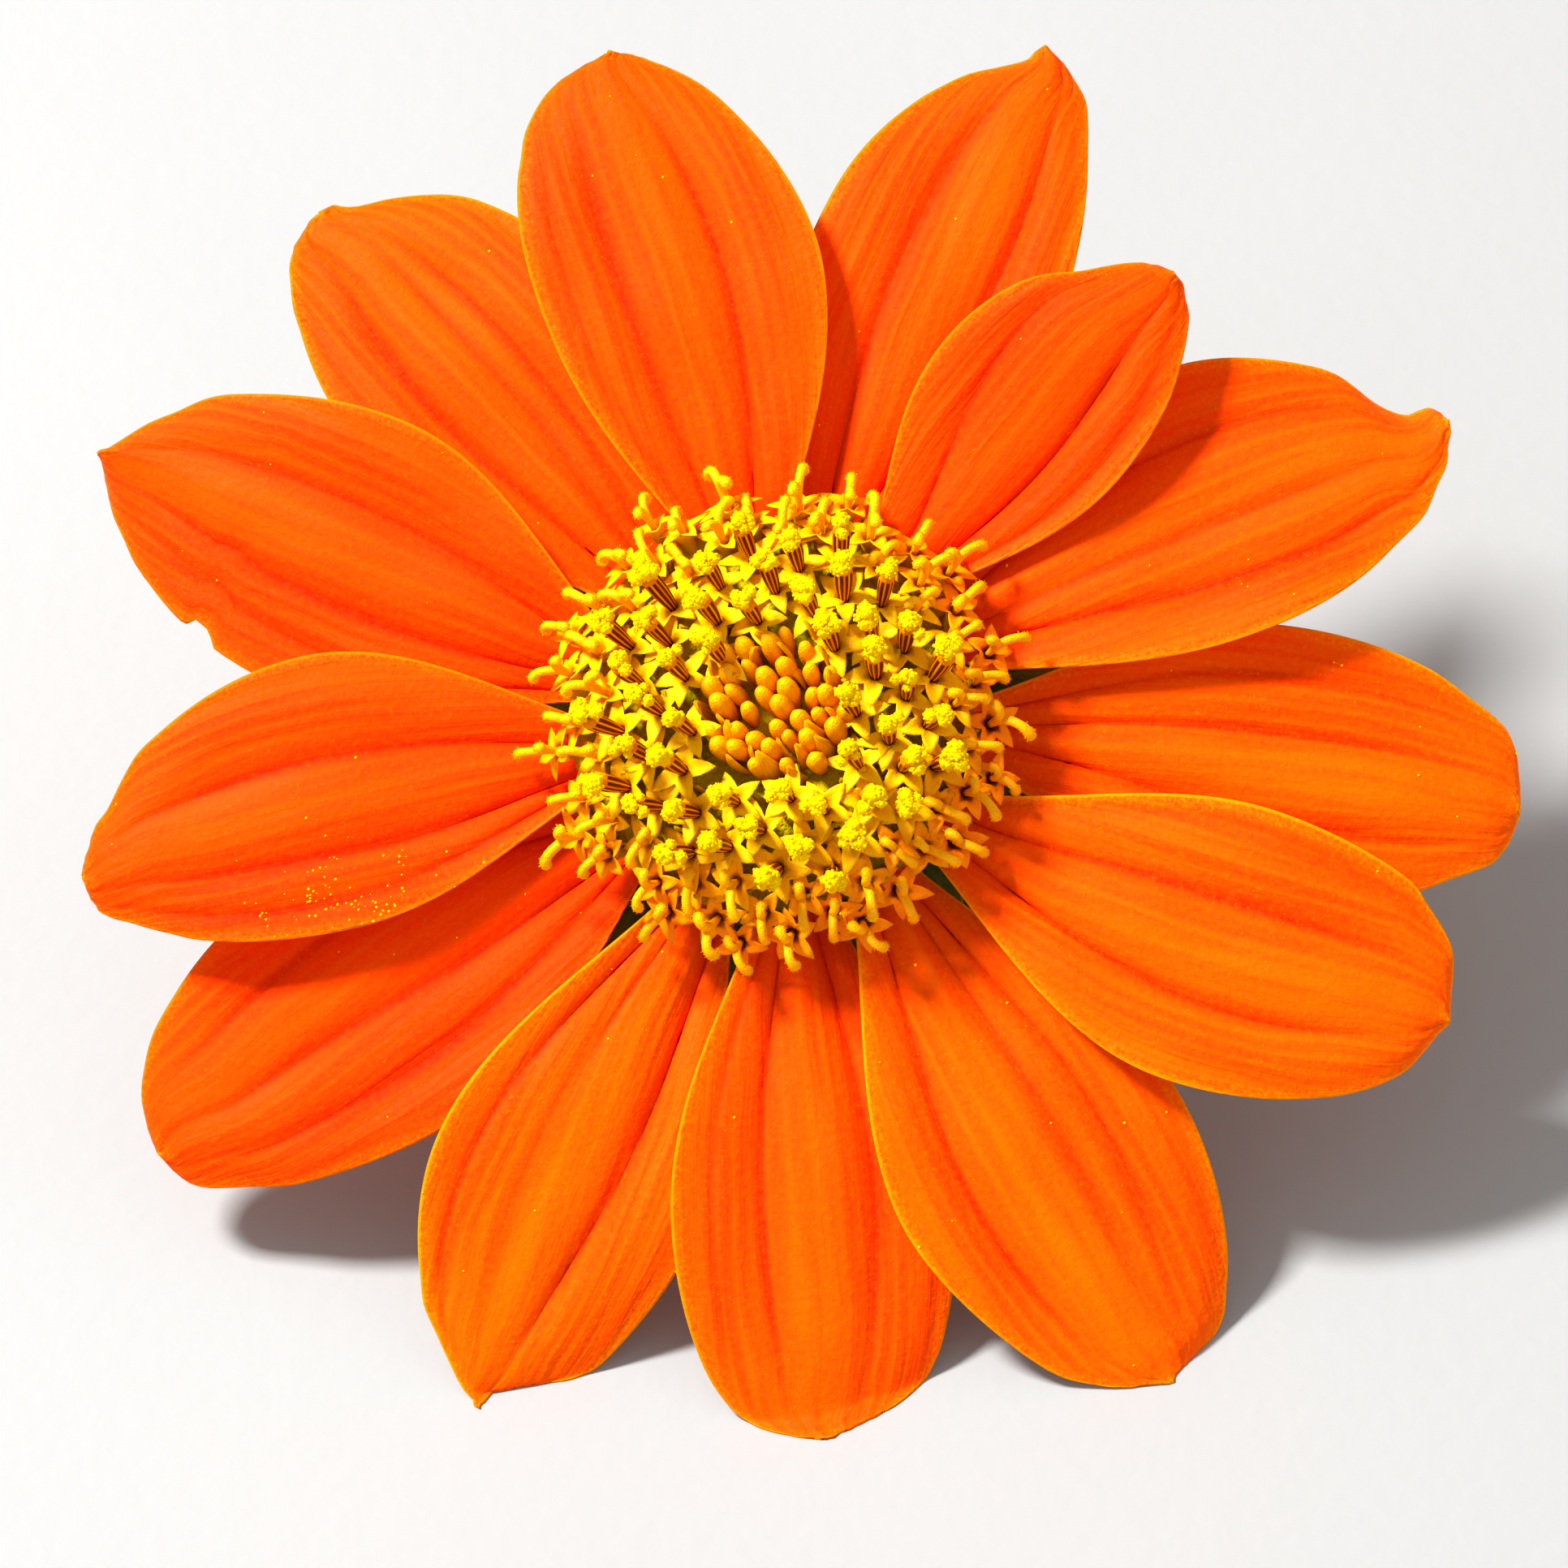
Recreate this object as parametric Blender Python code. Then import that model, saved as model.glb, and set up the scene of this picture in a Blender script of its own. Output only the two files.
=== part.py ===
"""Mexican sunflower: one flower head as picked, on its short cut stem, lying on a table.

The constants are in millimetres and degrees, and the meshes in metres. The head has a frame of its
own: its centre is where the rays meet the receptacle, Z is the axis of the head, and X is level. The
head leans back on its bent stem, and the tips of its three lowest rays lie flat on the table.
"""
import math

import bmesh
import bpy
from mathutils import Matrix, Vector

MM = 0.001
GOLDEN_ANGLE = 137.508

HEAD_CENTRE = (-1.1, -10.5, 21.1)
HEAD_LEAN = 35.0
TABLE_SOFTNESS = 0.12
SETTLED = 0.16

RAY_ROOT_RADIUS = 8.0
RAY_CREST_RADIUS = 22.0
RAY_CREST_HEIGHT = 1.5
RAY_THICKNESS = 0.6
RAY_LAYER = 0.95
RAY_PLEAT = 0.28
RAY_PLEATS = 3
RAY_ARCH = 0.8
RAY_ROOT_SHARE = 0.17
RAY_TIP_HALF_WIDTH = 0.45
RAY_TIP_LENGTH = 1.0
RAY_TIP_ROUNDING = 3
RAY_STATIONS = (0, 0.06, 0.14, 0.24, 0.35, 0.46, 0.58, 0.7, 0.8, 0.88, 0.94, 0.975, 1)
RAY_COLUMNS = (-1, -2 / 3, -1 / 3, 0, 1 / 3, 2 / 3, 1)

RECEPTACLE_PROFILE = (
    (3.9, -10.1), (4.9, -9.0), (7.0, -6.8), (8.2, -4.4), (8.4, -2.4), (7.7, -1.1), (7.7, 1.3),
)
RECEPTACLE_SIDES = 24
BRACTS_PER_WHORL = 8
BRACT_THICKNESS = 0.8
BRACT_HALF_WIDTHS = (1.2, 2.3, 2.8, 2.0, 0.4)
OUTER_BRACT_PATH = ((3.6, -7.9), (7.4, -7.7), (10.2, -5.4), (12.6, -3.6), (15.0, -2.7))
INNER_BRACT_PATH = ((5.0, -5.6), (8.9, -5.2), (10.8, -3.4), (12.4, -2.3), (14.0, -1.8))
BRACT_COLUMNS = (-1, 0, 1)
BRACT_CUP = 0.5

OPEN_FLORETS = 92
POLLEN_FLORETS = 32
FLORET_INNER_RADIUS = 5.2
FLORET_OUTER_RADIUS = 11.2
MOUTH_TOP = 6.3
MOUTH_RIM = 4.0
MOUTH_FALL = 1.6
FLORET_INNER_TILT = 10.0
FLORET_OUTER_TILT = 54.0
FLORET_SIDES = 5
CORE_DEPTH = 1.35
CORE_UNDERSIDE = ((9.4, 2.2), (8.4, 1.6))
CORE_WELL = 4.7
CORE_SIDES = 20
COROLLA_ROOT = (0.45, -1.9)
COROLLA_TIP = (1.0, 0.1)
COROLLA_NOTCH = (0.55, -0.1)
COROLLA_THROAT = (0.4, 0.05)
ANTHER_RINGS = ((0.4, 1.2), (0.62, 1.6), (0.35, 2.1))
STYLE_LOOPS = ((0.32, 1.0, 15, 1.0), (1.15, 1.65, 80, 0.75))
STYLE_CORNERS = ((0, 1, 2, 3), (3, 4, 0))

BUDS = 34
BUD_SPACING = 0.66
BUD_RINGS = ((0.45, -0.2), (0.6, 0.5), (0.45, 1.05))
BUD_CROWN = 1.4
BUD_SIDES = 5
BUD_FAN = 4.0
BUD_FOOT = 5.55
BUD_FALL = 0.02
BUD_CORE_PROFILE = ((4.25, 5.0), (4.25, 5.3), (2.4, 5.6))
BUD_CORE_SIDES = 20

STEM_TOP = 10.4
STEM_TOP_RADIUS = 3.9
STEM_SWELL = 0.35
STEM_RADIUS = 1.9
STEM_RUN = 25.0
STEM_DRIFT = 3.5
STEM_SIDES = 12
STEM_BEND_STATIONS = 9
STEM_RUN_STATIONS = 6

OVER = 1
UNDER = -1


class Ray:
    """One ray: its outline in the plane of the head, and how it lies over or under its neighbours.

    Angles are counted from the head's X axis, anticlockwise. The first of each pair is the clockwise
    side. Widest is the share of the length where the ray is widest, swell is how late it widens, bow
    is how far its midline bends, and taper is how sharply each side runs in to the tip.
    """

    def __init__(self, root, tip, reach, half_widths, widest, swell, bow, taper, lies, lift):
        start = polar(RAY_ROOT_RADIUS, root)
        self.start = start
        self.axis = polar(reach, tip) - start
        self.length = self.axis.length
        self.axis.normalize()
        self.side = Vector((-self.axis.y, self.axis.x))
        self.half_widths = half_widths
        self.widest = widest
        self.swell = swell
        self.bow = bow
        self.taper = taper
        self.lies = lies
        self.lift = lift

    def half_width(self, u, edge):
        """Half width at u of the length, on the clockwise edge (0) or the other (1)."""
        body = self.half_widths[edge]
        if u < self.widest:
            grown = math.sin(math.pi / 2 * u / self.widest) ** self.swell
            body *= RAY_ROOT_SHARE + (1 - RAY_ROOT_SHARE) * grown
        else:
            spent = (u - self.widest) / (1 - self.widest)
            body *= max(0, 1 - spent * spent) ** self.taper[edge]
        from_tip = (1 - u) * self.length / RAY_TIP_LENGTH
        point = RAY_TIP_HALF_WIDTH if from_tip < 1 else 0
        return (body ** RAY_TIP_ROUNDING + point ** RAY_TIP_ROUNDING) ** (1 / RAY_TIP_ROUNDING)

    def middle(self, u, v):
        """The sheet halfway through the ray, at u of its length and v of its half width."""
        edge = 1 if v > 0 else 0
        across = v * self.half_width(u, edge) + self.bow * 4 * u * (1 - u)
        place = self.start + self.axis * (u * self.length) + self.side * across
        off_crest = (place.length - RAY_CREST_RADIUS) / (RAY_CREST_RADIUS - RAY_ROOT_RADIUS)
        z = RAY_CREST_HEIGHT * (1 - off_crest * off_crest)
        layer = (sum(self.lies) + v * (self.lies[1] - self.lies[0])) / 2
        z += RAY_LAYER * layer * (0.5 + 0.5 * ease(u / 0.12))
        z += self.lift * ease((u - 0.25) / 0.75)
        z += RAY_PLEAT * math.cos(RAY_PLEATS * math.pi * v) * math.sin(math.pi * u)
        z -= RAY_ARCH * v * v * ease((u - 0.6) / 0.35)
        return Vector((place.x, place.y, z))


def polar(radius, angle):
    """A point of the head's plane."""
    turn = math.radians(angle)
    return Vector((radius * math.cos(turn), radius * math.sin(turn)))


def ease(x):
    """Zero to one with level ends."""
    x = min(1, max(0, x))
    return x * x * (3 - 2 * x)


def head_to_table():
    """Turns and moves the head's own frame, still in millimetres, to where the head lies."""
    return Matrix.Translation(HEAD_CENTRE) @ Matrix.Rotation(math.radians(HEAD_LEAN), 4, "X")


def rays():
    """The thirteen rays, clockwise from the top one."""
    return [
        Ray(99, 105, 37.0, (7.3, 7.6), 0.56, 1.0, -1.2, (0.54, 0.52), (OVER, OVER), 0.6),
        Ray(72, 68, 38.6, (6.8, 7.0), 0.53, 1.1, 0.6, (0.7, 0.8), (UNDER, UNDER), 0.0),
        Ray(49, 48.5, 31.4, (5.9, 5.9), 0.57, 1.3, 0.3, (0.54, 0.77), (OVER, OVER), 2.4),
        Ray(25, 23.5, 38.1, (7.3, 7.7), 0.57, 1.1, 0.9, (0.78, 0.84), (OVER, UNDER), 0.3),
        Ray(357, 354, 38.9, (6.9, 7.0), 0.58, 1.1, 0.4, (0.35, 0.43), (UNDER, UNDER), -0.6),
        Ray(328, 336.5, 38.1, (6.7, 8.3), 0.6, 1.5, -2.3, (0.39, 0.47), (OVER, OVER), 0.8),
        Ray(305, 300.5, 39.9, (8.0, 7.9), 0.61, 1.5, 0.0, (0.55, 0.53), (OVER, UNDER), -1.0),
        Ray(277, 274.5, 38.2, (7.6, 7.4), 0.6, 1.3, 0.2, (0.4, 0.43), (OVER, UNDER), -0.5),
        Ray(251, 247, 38.8, (7.5, 6.9), 0.62, 1.5, -0.3, (0.75, 0.66), (OVER, UNDER), -0.9),
        Ray(217, 215.5, 39.3, (8.1, 7.7), 0.52, 0.95, -0.5, (0.37, 0.61), (UNDER, UNDER), -0.6),
        Ray(191, 191.5, 37.3, (7.6, 7.0), 0.53, 1.3, -0.6, (0.65, 0.51), (OVER, OVER), 1.2),
        Ray(164, 157, 38.7, (7.7, 7.6), 0.51, 1.4, 0.2, (0.59, 0.76), (OVER, UNDER), 0.0),
        Ray(131, 131, 36.7, (7.7, 7.5), 0.58, 1.1, -0.7, (0.54, 0.58), (UNDER, UNDER), -0.5),
    ]


def material(name, colour, roughness):
    """A plain coloured material."""
    made = bpy.data.materials.new(name)
    made.use_nodes = True
    shader = made.node_tree.nodes["Principled BSDF"]
    shader.inputs["Base Color"].default_value = (*colour, 1)
    shader.inputs["Roughness"].default_value = roughness
    shader.inputs["Metallic"].default_value = 0
    return made


def solid(name, points, faces, collection=None):
    """Makes an object from points in millimetres on the table, with its faces pointing outwards."""
    mesh = bpy.data.meshes.new(name)
    mesh.from_pydata([Vector(p) * MM for p in points], [], faces)
    made = bmesh.new()
    made.from_mesh(mesh)
    bmesh.ops.recalc_face_normals(made, faces=made.faces)
    if made.calc_volume(signed=True) < 0:
        bmesh.ops.reverse_faces(made, faces=made.faces)
    made.to_mesh(mesh)
    made.free()
    placed = bpy.data.objects.new(name, mesh)
    (collection or bpy.context.scene.collection).objects.link(placed)
    return placed


def finish(placed, finish_material, smooth_angle=40):
    """Shades a node smooth apart from its sharp edges, and gives it its material."""
    placed.data.shade_smooth()
    placed.data.set_sharp_from_angle(angle=math.radians(smooth_angle))
    placed.data.materials.clear()
    placed.data.materials.append(finish_material)


def blade(name, middle, stations, columns, thickness, place, collection=None):
    """A thin blade round the sheet middle(u, v), cut into triangles alike on both its faces."""
    step = 0.004
    upper = []
    lower = []
    for u in stations:
        for v in columns:
            here = place(middle(u, v))
            along = place(middle(min(1, u + step), v)) - place(middle(max(0, u - step), v))
            across = place(middle(u, min(1, v + step))) - place(middle(u, max(-1, v - step)))
            normal = along.cross(across).normalized() * (thickness / 2)
            upper.append(settle(here + normal))
            lower.append(settle(here - normal))
    wide = len(columns)
    below = len(upper)
    faces = []
    for i in range(len(stations) - 1):
        for j in range(wide - 1):
            a, b = i * wide + j, (i + 1) * wide + j
            for corners in ((a, b, b + 1), (a, b + 1, a + 1)):
                faces.append(corners)
                faces.append(tuple(below + k for k in reversed(corners)))
    rim = list(range(wide))
    rim += [i * wide + wide - 1 for i in range(1, len(stations))]
    rim += [(len(stations) - 1) * wide + j for j in range(wide - 2, -1, -1)]
    rim += [i * wide for i in range(len(stations) - 2, 0, -1)]
    for first, second in zip(rim, rim[1:] + rim[:1]):
        faces.append((first, second, below + second))
        faces.append((first, below + second, below + first))
    return solid(name, upper + lower, faces, collection)


def settle(point):
    """What would sink into the table, or hang a hair above it, lies flat on it."""
    if point.z < SETTLED:
        return Vector((point.x, point.y, 0))
    return point


def rings(name, loops, place, apex=None, collection=None):
    """A closed skin through loops of points that all have the same count, with flat or pointed ends."""
    count = len(loops[0])
    points = [place(Vector(p)) for loop in loops for p in loop]
    faces = [tuple(range(count))]
    for i in range(len(loops) - 1):
        for k in range(count):
            a, b = i * count + k, i * count + (k + 1) % count
            faces.append((a, b, b + count, a + count))
    last = (len(loops) - 1) * count
    if apex is None:
        faces.append(tuple(range(last, last + count)))
    else:
        points.append(place(Vector(apex)))
        for k in range(count):
            faces.append((last + k, last + (k + 1) % count, len(points) - 1))
    return solid(name, points, faces, collection)


def ring(radius, z, sides, turn=0.0):
    """Points of a level regular polygon about the Z axis."""
    found = []
    for k in range(sides):
        angle = math.radians(turn) + 2 * math.pi * k / sides
        found.append((radius * math.cos(angle), radius * math.sin(angle), z))
    return found


def turned(name, profile, sides):
    """A solid of the head turned about its axis, flat at both ends of the profile."""
    in_head = head_to_table()
    return rings(name, [ring(r, z, sides) for r, z in profile], lambda p: in_head @ p)


def unite(base, collection):
    """Joins every object of a collection to the base, and removes them. EXACT is slow on so many."""
    union = base.modifiers.new("Union", "BOOLEAN")
    union.operation = "UNION"
    union.operand_type = "COLLECTION"
    union.collection = collection
    union.solver = "MANIFOLD"
    bpy.context.view_layer.update()
    joined = bpy.data.meshes.new_from_object(base.evaluated_get(bpy.context.evaluated_depsgraph_get()))
    base.modifiers.clear()
    base.data = joined
    joined.name = base.name
    for placed in list(collection.objects):
        bpy.data.objects.remove(placed)
    bpy.data.collections.remove(collection)


def gather(name):
    """A new collection in the scene, for the repeats of one node."""
    collection = bpy.data.collections.new(name)
    bpy.context.scene.collection.children.link(collection)
    return collection


def lay_ray(point):
    """Brings a point of a ray's middle sheet to the table, where a ray that reaches it bends to lie flat."""
    lying = head_to_table() @ point
    lowest = RAY_THICKNESS / 2
    lying.z = lowest + TABLE_SOFTNESS * math.log1p(math.exp((lying.z - lowest) / TABLE_SOFTNESS))
    return lying


def make_rays():
    """Each ray is a pleated blade, with its root against the rim of the receptacle."""
    orange = material("ray_orange", (0.95, 0.13, 0.005), 0.5)
    for number, ray in enumerate(rays(), 1):
        name = f"petal_{number:02d}"
        finish(blade(name, ray.middle, RAY_STATIONS, RAY_COLUMNS, RAY_THICKNESS, lay_ray), orange, 60)


def bract_middle(path, angle):
    """The sheet halfway through a bract that follows a path of radius and height out from the cup."""
    def middle(u, v):
        last = len(path) - 1
        i = min(int(u * last), last - 1)
        part = u * last - i
        radius, z = (path[i][axis] * (1 - part) + path[i + 1][axis] * part for axis in (0, 1))
        half_width = BRACT_HALF_WIDTHS[i] * (1 - part) + BRACT_HALF_WIDTHS[i + 1] * part
        out = polar(1, angle)
        place = out * radius + Vector((-out.y, out.x)) * (v * half_width)
        cup = BRACT_CUP * (v * v * half_width / max(BRACT_HALF_WIDTHS) - 1)
        return Vector((place.x, place.y, z + cup))
    return middle


def make_involucre():
    """The receptacle, a solid cup, with two whorls of green bracts grown from it."""
    cup = turned("involucre", RECEPTACLE_PROFILE, RECEPTACLE_SIDES)
    bracts = gather("bracts")
    in_head = head_to_table()
    stations = [i / (len(OUTER_BRACT_PATH) - 1) for i in range(len(OUTER_BRACT_PATH))]
    for whorl, path in enumerate((OUTER_BRACT_PATH, INNER_BRACT_PATH)):
        for k in range(BRACTS_PER_WHORL):
            middle = bract_middle(path, 360 * (k + whorl / 2) / BRACTS_PER_WHORL)
            name = f"bract_{whorl}_{k}"
            blade(name, middle, stations, BRACT_COLUMNS, BRACT_THICKNESS, lambda p: in_head @ p, bracts)
    unite(cup, bracts)
    finish(cup, material("bract_green", (0.13, 0.2, 0.05), 0.6))


def mouth(radius):
    """Height of the floret mouths, and the lean of the florets in degrees, at a distance from the axis."""
    out = (radius - FLORET_INNER_RADIUS) / (FLORET_OUTER_RADIUS - FLORET_INNER_RADIUS)
    height = MOUTH_TOP - (MOUTH_TOP - MOUTH_RIM) * max(0, out) ** MOUTH_FALL
    tilt = FLORET_INNER_TILT + (FLORET_OUTER_TILT - FLORET_INNER_TILT) * out
    return height, tilt


def floret_place(radius, angle, height, tilt, spin):
    """Stands a floret in the head: its Z axis leans outwards, and its mouth is at the given place."""
    turn = Matrix.Rotation(math.radians(angle), 4, "Z")
    lean = Matrix.Rotation(math.radians(tilt), 4, "Y")
    at = Matrix.Translation((radius, 0, height))
    full = head_to_table() @ turn @ at @ lean @ Matrix.Rotation(math.radians(spin), 4, "Z")
    return lambda p: full @ p


def corolla(name, place, columns, collection):
    """A five-lobed star on its tube, with columns that stand on the whole or on parts of its throat.

    A column is the list of the throat's corners that it stands on, and the loops that it runs up through.
    """
    n = FLORET_SIDES
    half = 180 / n
    points = ring(*COROLLA_ROOT, n) + ring(*COROLLA_TIP, n) + ring(*COROLLA_NOTCH, n, half) + throat()
    faces = [tuple(range(n))]
    for k in range(n):
        after = (k + 1) % n
        for loop in (0, 3 * n):
            faces.append((loop + k, n + k, 2 * n + k))
            faces.append((loop + k, 2 * n + k, loop + after))
            faces.append((loop + after, 2 * n + k, n + after))
    for corners, loops in columns:
        below = [3 * n + k for k in corners]
        for loop in loops:
            above = [len(points) + k for k in range(len(loop))]
            points += loop
            for k in range(len(loop)):
                after = (k + 1) % len(loop)
                faces.append((below[k], below[after], above[after], above[k]))
            below = above
        faces.append(tuple(below))
    solid(name, [place(Vector(p)) for p in points], faces, collection)


def throat():
    """The corners of a floret's throat."""
    return ring(*COROLLA_THROAT, FLORET_SIDES)


def style_branch(corners):
    """One curled branch of a style, which grows from some of the throat's corners and bends their way."""
    foot = [Vector(throat()[k]) for k in corners]
    middle = sum(foot, Vector()) / len(foot)
    out = Vector((middle.x, middle.y, 0)).normalized()
    aside = Vector((-out.y, out.x, 0))
    loops = []
    for reach, height, bend, size in STYLE_LOOPS:
        tilt = math.radians(bend)
        across = out * math.cos(tilt) - Vector((0, 0, math.sin(tilt)))
        centre = out * reach + Vector((0, 0, height))
        from_middle = [p - middle for p in foot]
        loops.append([centre + (across * p.dot(out) + aside * p.dot(aside)) * size for p in from_middle])
    return corners, loops


def make_open_florets():
    """The open florets, placed by the golden angle on a low dome that they are rooted in."""
    profile = [(r, z) for r, z in reversed(CORE_UNDERSIDE)]
    steps = 4
    for i in range(steps, -1, -1):
        radius = FLORET_INNER_RADIUS + (FLORET_OUTER_RADIUS - FLORET_INNER_RADIUS) * i / steps
        height, tilt = mouth(radius)
        lean = math.radians(tilt)
        profile.append((radius - CORE_DEPTH * math.sin(lean), height - CORE_DEPTH * math.cos(lean)))
    profile.append((FLORET_INNER_RADIUS - 1.1, CORE_WELL))
    core = turned("disc_florets", profile, CORE_SIDES)
    florets = gather("florets")
    growth = (FLORET_OUTER_RADIUS ** 2 - FLORET_INNER_RADIUS ** 2) / OPEN_FLORETS
    for k in range(OPEN_FLORETS):
        radius = math.sqrt(FLORET_INNER_RADIUS ** 2 + growth * (k + 0.5))
        angle = GOLDEN_ANGLE * k
        height, tilt = mouth(radius)
        place = floret_place(radius, angle, height, tilt, 40 * k)
        if k < POLLEN_FLORETS:
            columns = [(range(FLORET_SIDES), [ring(r, z, FLORET_SIDES) for r, z in ANTHER_RINGS])]
        else:
            columns = [style_branch(corners) for corners in STYLE_CORNERS]
        corolla(f"floret_{k}", place, columns, florets)
    unite(core, florets)
    finish(core, material("floret_yellow", (0.85, 0.5, 0.02), 0.6))


def make_buds():
    """The closed buds at the centre, on a small core of their own."""
    core = turned("disc_buds", BUD_CORE_PROFILE, BUD_CORE_SIDES)
    buds = gather("buds")
    for k in range(BUDS):
        radius = BUD_SPACING * math.sqrt(k + 0.5)
        foot = BUD_FOOT - BUD_FALL * radius * radius
        place = floret_place(radius, GOLDEN_ANGLE * k, foot, BUD_FAN * radius / 2, 25 * k)
        loops = [ring(r, z, BUD_SIDES) for r, z in BUD_RINGS]
        rings(f"bud_{k}", loops, place, apex=(0, 0, BUD_CROWN), collection=buds)
    unite(core, buds)
    finish(core, material("bud_ochre", (0.8, 0.38, 0.02), 0.55))


def stem_path():
    """Centres, headings and radii along the stem, from the head down to the table and along it."""
    lean = math.radians(HEAD_LEAN)
    steep = math.pi / 2 - lean
    centre = Vector(HEAD_CENTRE)
    start = centre - Vector((0, -math.sin(lean), math.cos(lean))) * STEM_TOP
    rest = STEM_RADIUS * math.cos(math.pi / STEM_SIDES)
    bend = (start.z - rest) / (1 - math.cos(steep))
    found = []
    for i in range(STEM_BEND_STATIONS):
        part = i / (STEM_BEND_STATIONS - 1)
        fall = steep * (1 - part)
        y = start.y + bend * (math.sin(steep) - math.sin(fall))
        z = rest + bend * (1 - math.cos(fall))
        radius = STEM_TOP_RADIUS + (STEM_RADIUS - STEM_TOP_RADIUS) * ease(part)
        radius += STEM_SWELL * math.sin(math.pi * min(1, part / 0.35))
        found.append((Vector((start.x, y, z)), Vector((0, math.cos(fall), -math.sin(fall))), radius))
    corner = found[-1][0]
    for i in range(1, STEM_RUN_STATIONS + 1):
        part = i / STEM_RUN_STATIONS
        point = corner + Vector((STEM_DRIFT * part * part, STEM_RUN * part, 0))
        heading = Vector((2 * STEM_DRIFT * part, STEM_RUN, 0)).normalized()
        found.append((point, heading, STEM_RADIUS))
    return found


def make_stem():
    """The stem: swollen under the head, bent down to the table, and cut square at its end."""
    loops = []
    for point, heading, radius in stem_path():
        side = heading.cross(Vector((0, 0, 1))).normalized()
        up = side.cross(heading)
        loop = []
        for k in range(STEM_SIDES):
            angle = 2 * math.pi * (k + 0.5) / STEM_SIDES
            loop.append(point + side * (radius * math.sin(angle)) + up * (radius * math.cos(angle)))
        loops.append(loop)
    stem = rings("stem", loops, lambda p: p)
    finish(stem, material("stem_green", (0.2, 0.27, 0.08), 0.6))


for old in list(bpy.data.objects):
    bpy.data.objects.remove(old)
make_stem()
make_involucre()
make_open_florets()
make_buds()
make_rays()
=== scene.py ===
"""Mexican sunflower: the looks of one picked flower head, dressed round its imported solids.

The head has a frame of its own, in millimetres: its centre is where the rays meet the receptacle,
Z is its axis, and X is level. The flower is put together from the stem up: stem, involucre, rays,
chaff, open florets, buds, and the pollen that has fallen on the rays. The table and lights come last.
"""
from dataclasses import dataclass
from math import atan2, copysign, cos, exp, log1p, pi, radians, sin, sqrt

import bmesh
import bpy
from mathutils import Matrix, Vector, noise


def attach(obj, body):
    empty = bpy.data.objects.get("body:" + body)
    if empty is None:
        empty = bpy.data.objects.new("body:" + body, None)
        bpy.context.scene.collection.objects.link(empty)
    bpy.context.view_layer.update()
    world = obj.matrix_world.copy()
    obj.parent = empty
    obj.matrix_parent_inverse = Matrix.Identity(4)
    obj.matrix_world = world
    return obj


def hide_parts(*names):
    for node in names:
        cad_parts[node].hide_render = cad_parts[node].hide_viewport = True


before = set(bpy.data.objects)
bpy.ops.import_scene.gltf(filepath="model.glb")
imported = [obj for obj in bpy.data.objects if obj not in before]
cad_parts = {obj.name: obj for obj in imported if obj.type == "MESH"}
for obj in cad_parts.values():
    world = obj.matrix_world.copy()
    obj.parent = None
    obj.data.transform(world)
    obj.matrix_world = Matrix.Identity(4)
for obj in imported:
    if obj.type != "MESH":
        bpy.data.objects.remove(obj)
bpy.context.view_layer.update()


# The stem is a hollow green stalk. It swells where it carries the head, is ribbed and downy all the
# way along, and was cut off square with shears. It bends down from the leaning head to the table.
MM = 0.001
HEAD_CENTRE = (-1.1, -10.5, 21.1)
HEAD_LEAN = 35.0
STEM_TOP = 10.4
STEM_TOP_RADIUS = 3.9
STEM_SWELL = 0.35
STEM_SWELL_SHARE = 0.35
STEM_RADIUS = 1.9
STEM_REST = 1.835
STEM_RUN = 25.0
STEM_DRIFT = 3.5
STEM_BEND_STATIONS = 34
STEM_RUN_STATIONS = 34
STEM_SIDES = 48
STEM_RIBS = 8
STEM_RIB_DEPTH = 0.09
STEM_LUMP = 0.09
STEM_CUT = ((0.0, 0.93), (0.06, 0.7), (0.04, 0.75 / STEM_RADIUS), (5.0, 0.3))
STEM_HAIRS_PER_MM2 = 2.6
STEM_HAIR_LENGTHS = (0.375, 0.75)
HAIR_PROFILE = ((1.0, 0.0), (0.7, 0.5), (0.2, 0.95))


def head_to_table():
    """From the head's own frame, in millimetres, to where the head lies, in metres."""
    lean = Matrix.Rotation(radians(HEAD_LEAN), 4, "X")
    return Matrix.Scale(MM, 4) @ Matrix.Translation(HEAD_CENTRE) @ lean


def ease(x):
    """Zero to one with level ends."""
    x = min(1, max(0, x))
    return x * x * (3 - 2 * x)


def skin(name, loops, uv=None, marks=None):
    """A closed skin through loops of points that all have the same count, closed with a fan at each end.

    uv(i, k) gives the UV of point k of loop i, with k up to the count, and spans the skin by default.
    Marks are named values for each point, kept as attributes.
    """
    count = len(loops[0])
    uv = uv or (lambda i, k: (i / (len(loops) - 1), k / count))
    points = [Vector(p) for loop in loops for p in loop]
    faces = []
    corners = []
    for i in range(len(loops) - 1):
        for k in range(count):
            a = i * count + k
            b = i * count + (k + 1) % count
            faces.append((a, b, b + count, a + count))
            corners += [uv(i, k), uv(i, k + 1), uv(i + 1, k + 1), uv(i + 1, k)]
    for i in (0, len(loops) - 1):
        hub = len(points)
        points.append(sum((Vector(p) for p in loops[i]), Vector()) / count)
        middle = Vector((0, 0))
        for k in range(count):
            middle += Vector(uv(i, k)) / count
        for k in range(count):
            faces.append((i * count + k, i * count + (k + 1) % count, hub))
            corners += [uv(i, k), uv(i, k + 1), middle]
    mesh = bpy.data.meshes.new(name)
    mesh.from_pydata(points, [], faces)
    layer = mesh.uv_layers.new(name="UVMap")
    for place, corner in zip(layer.data, corners):
        place.uv = corner
    for label, values in (marks or {}).items():
        ends = [values[0], values[(len(loops) - 1) * count]]
        mark(mesh, values + ends, label)
    return point_outwards(mesh)


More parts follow.
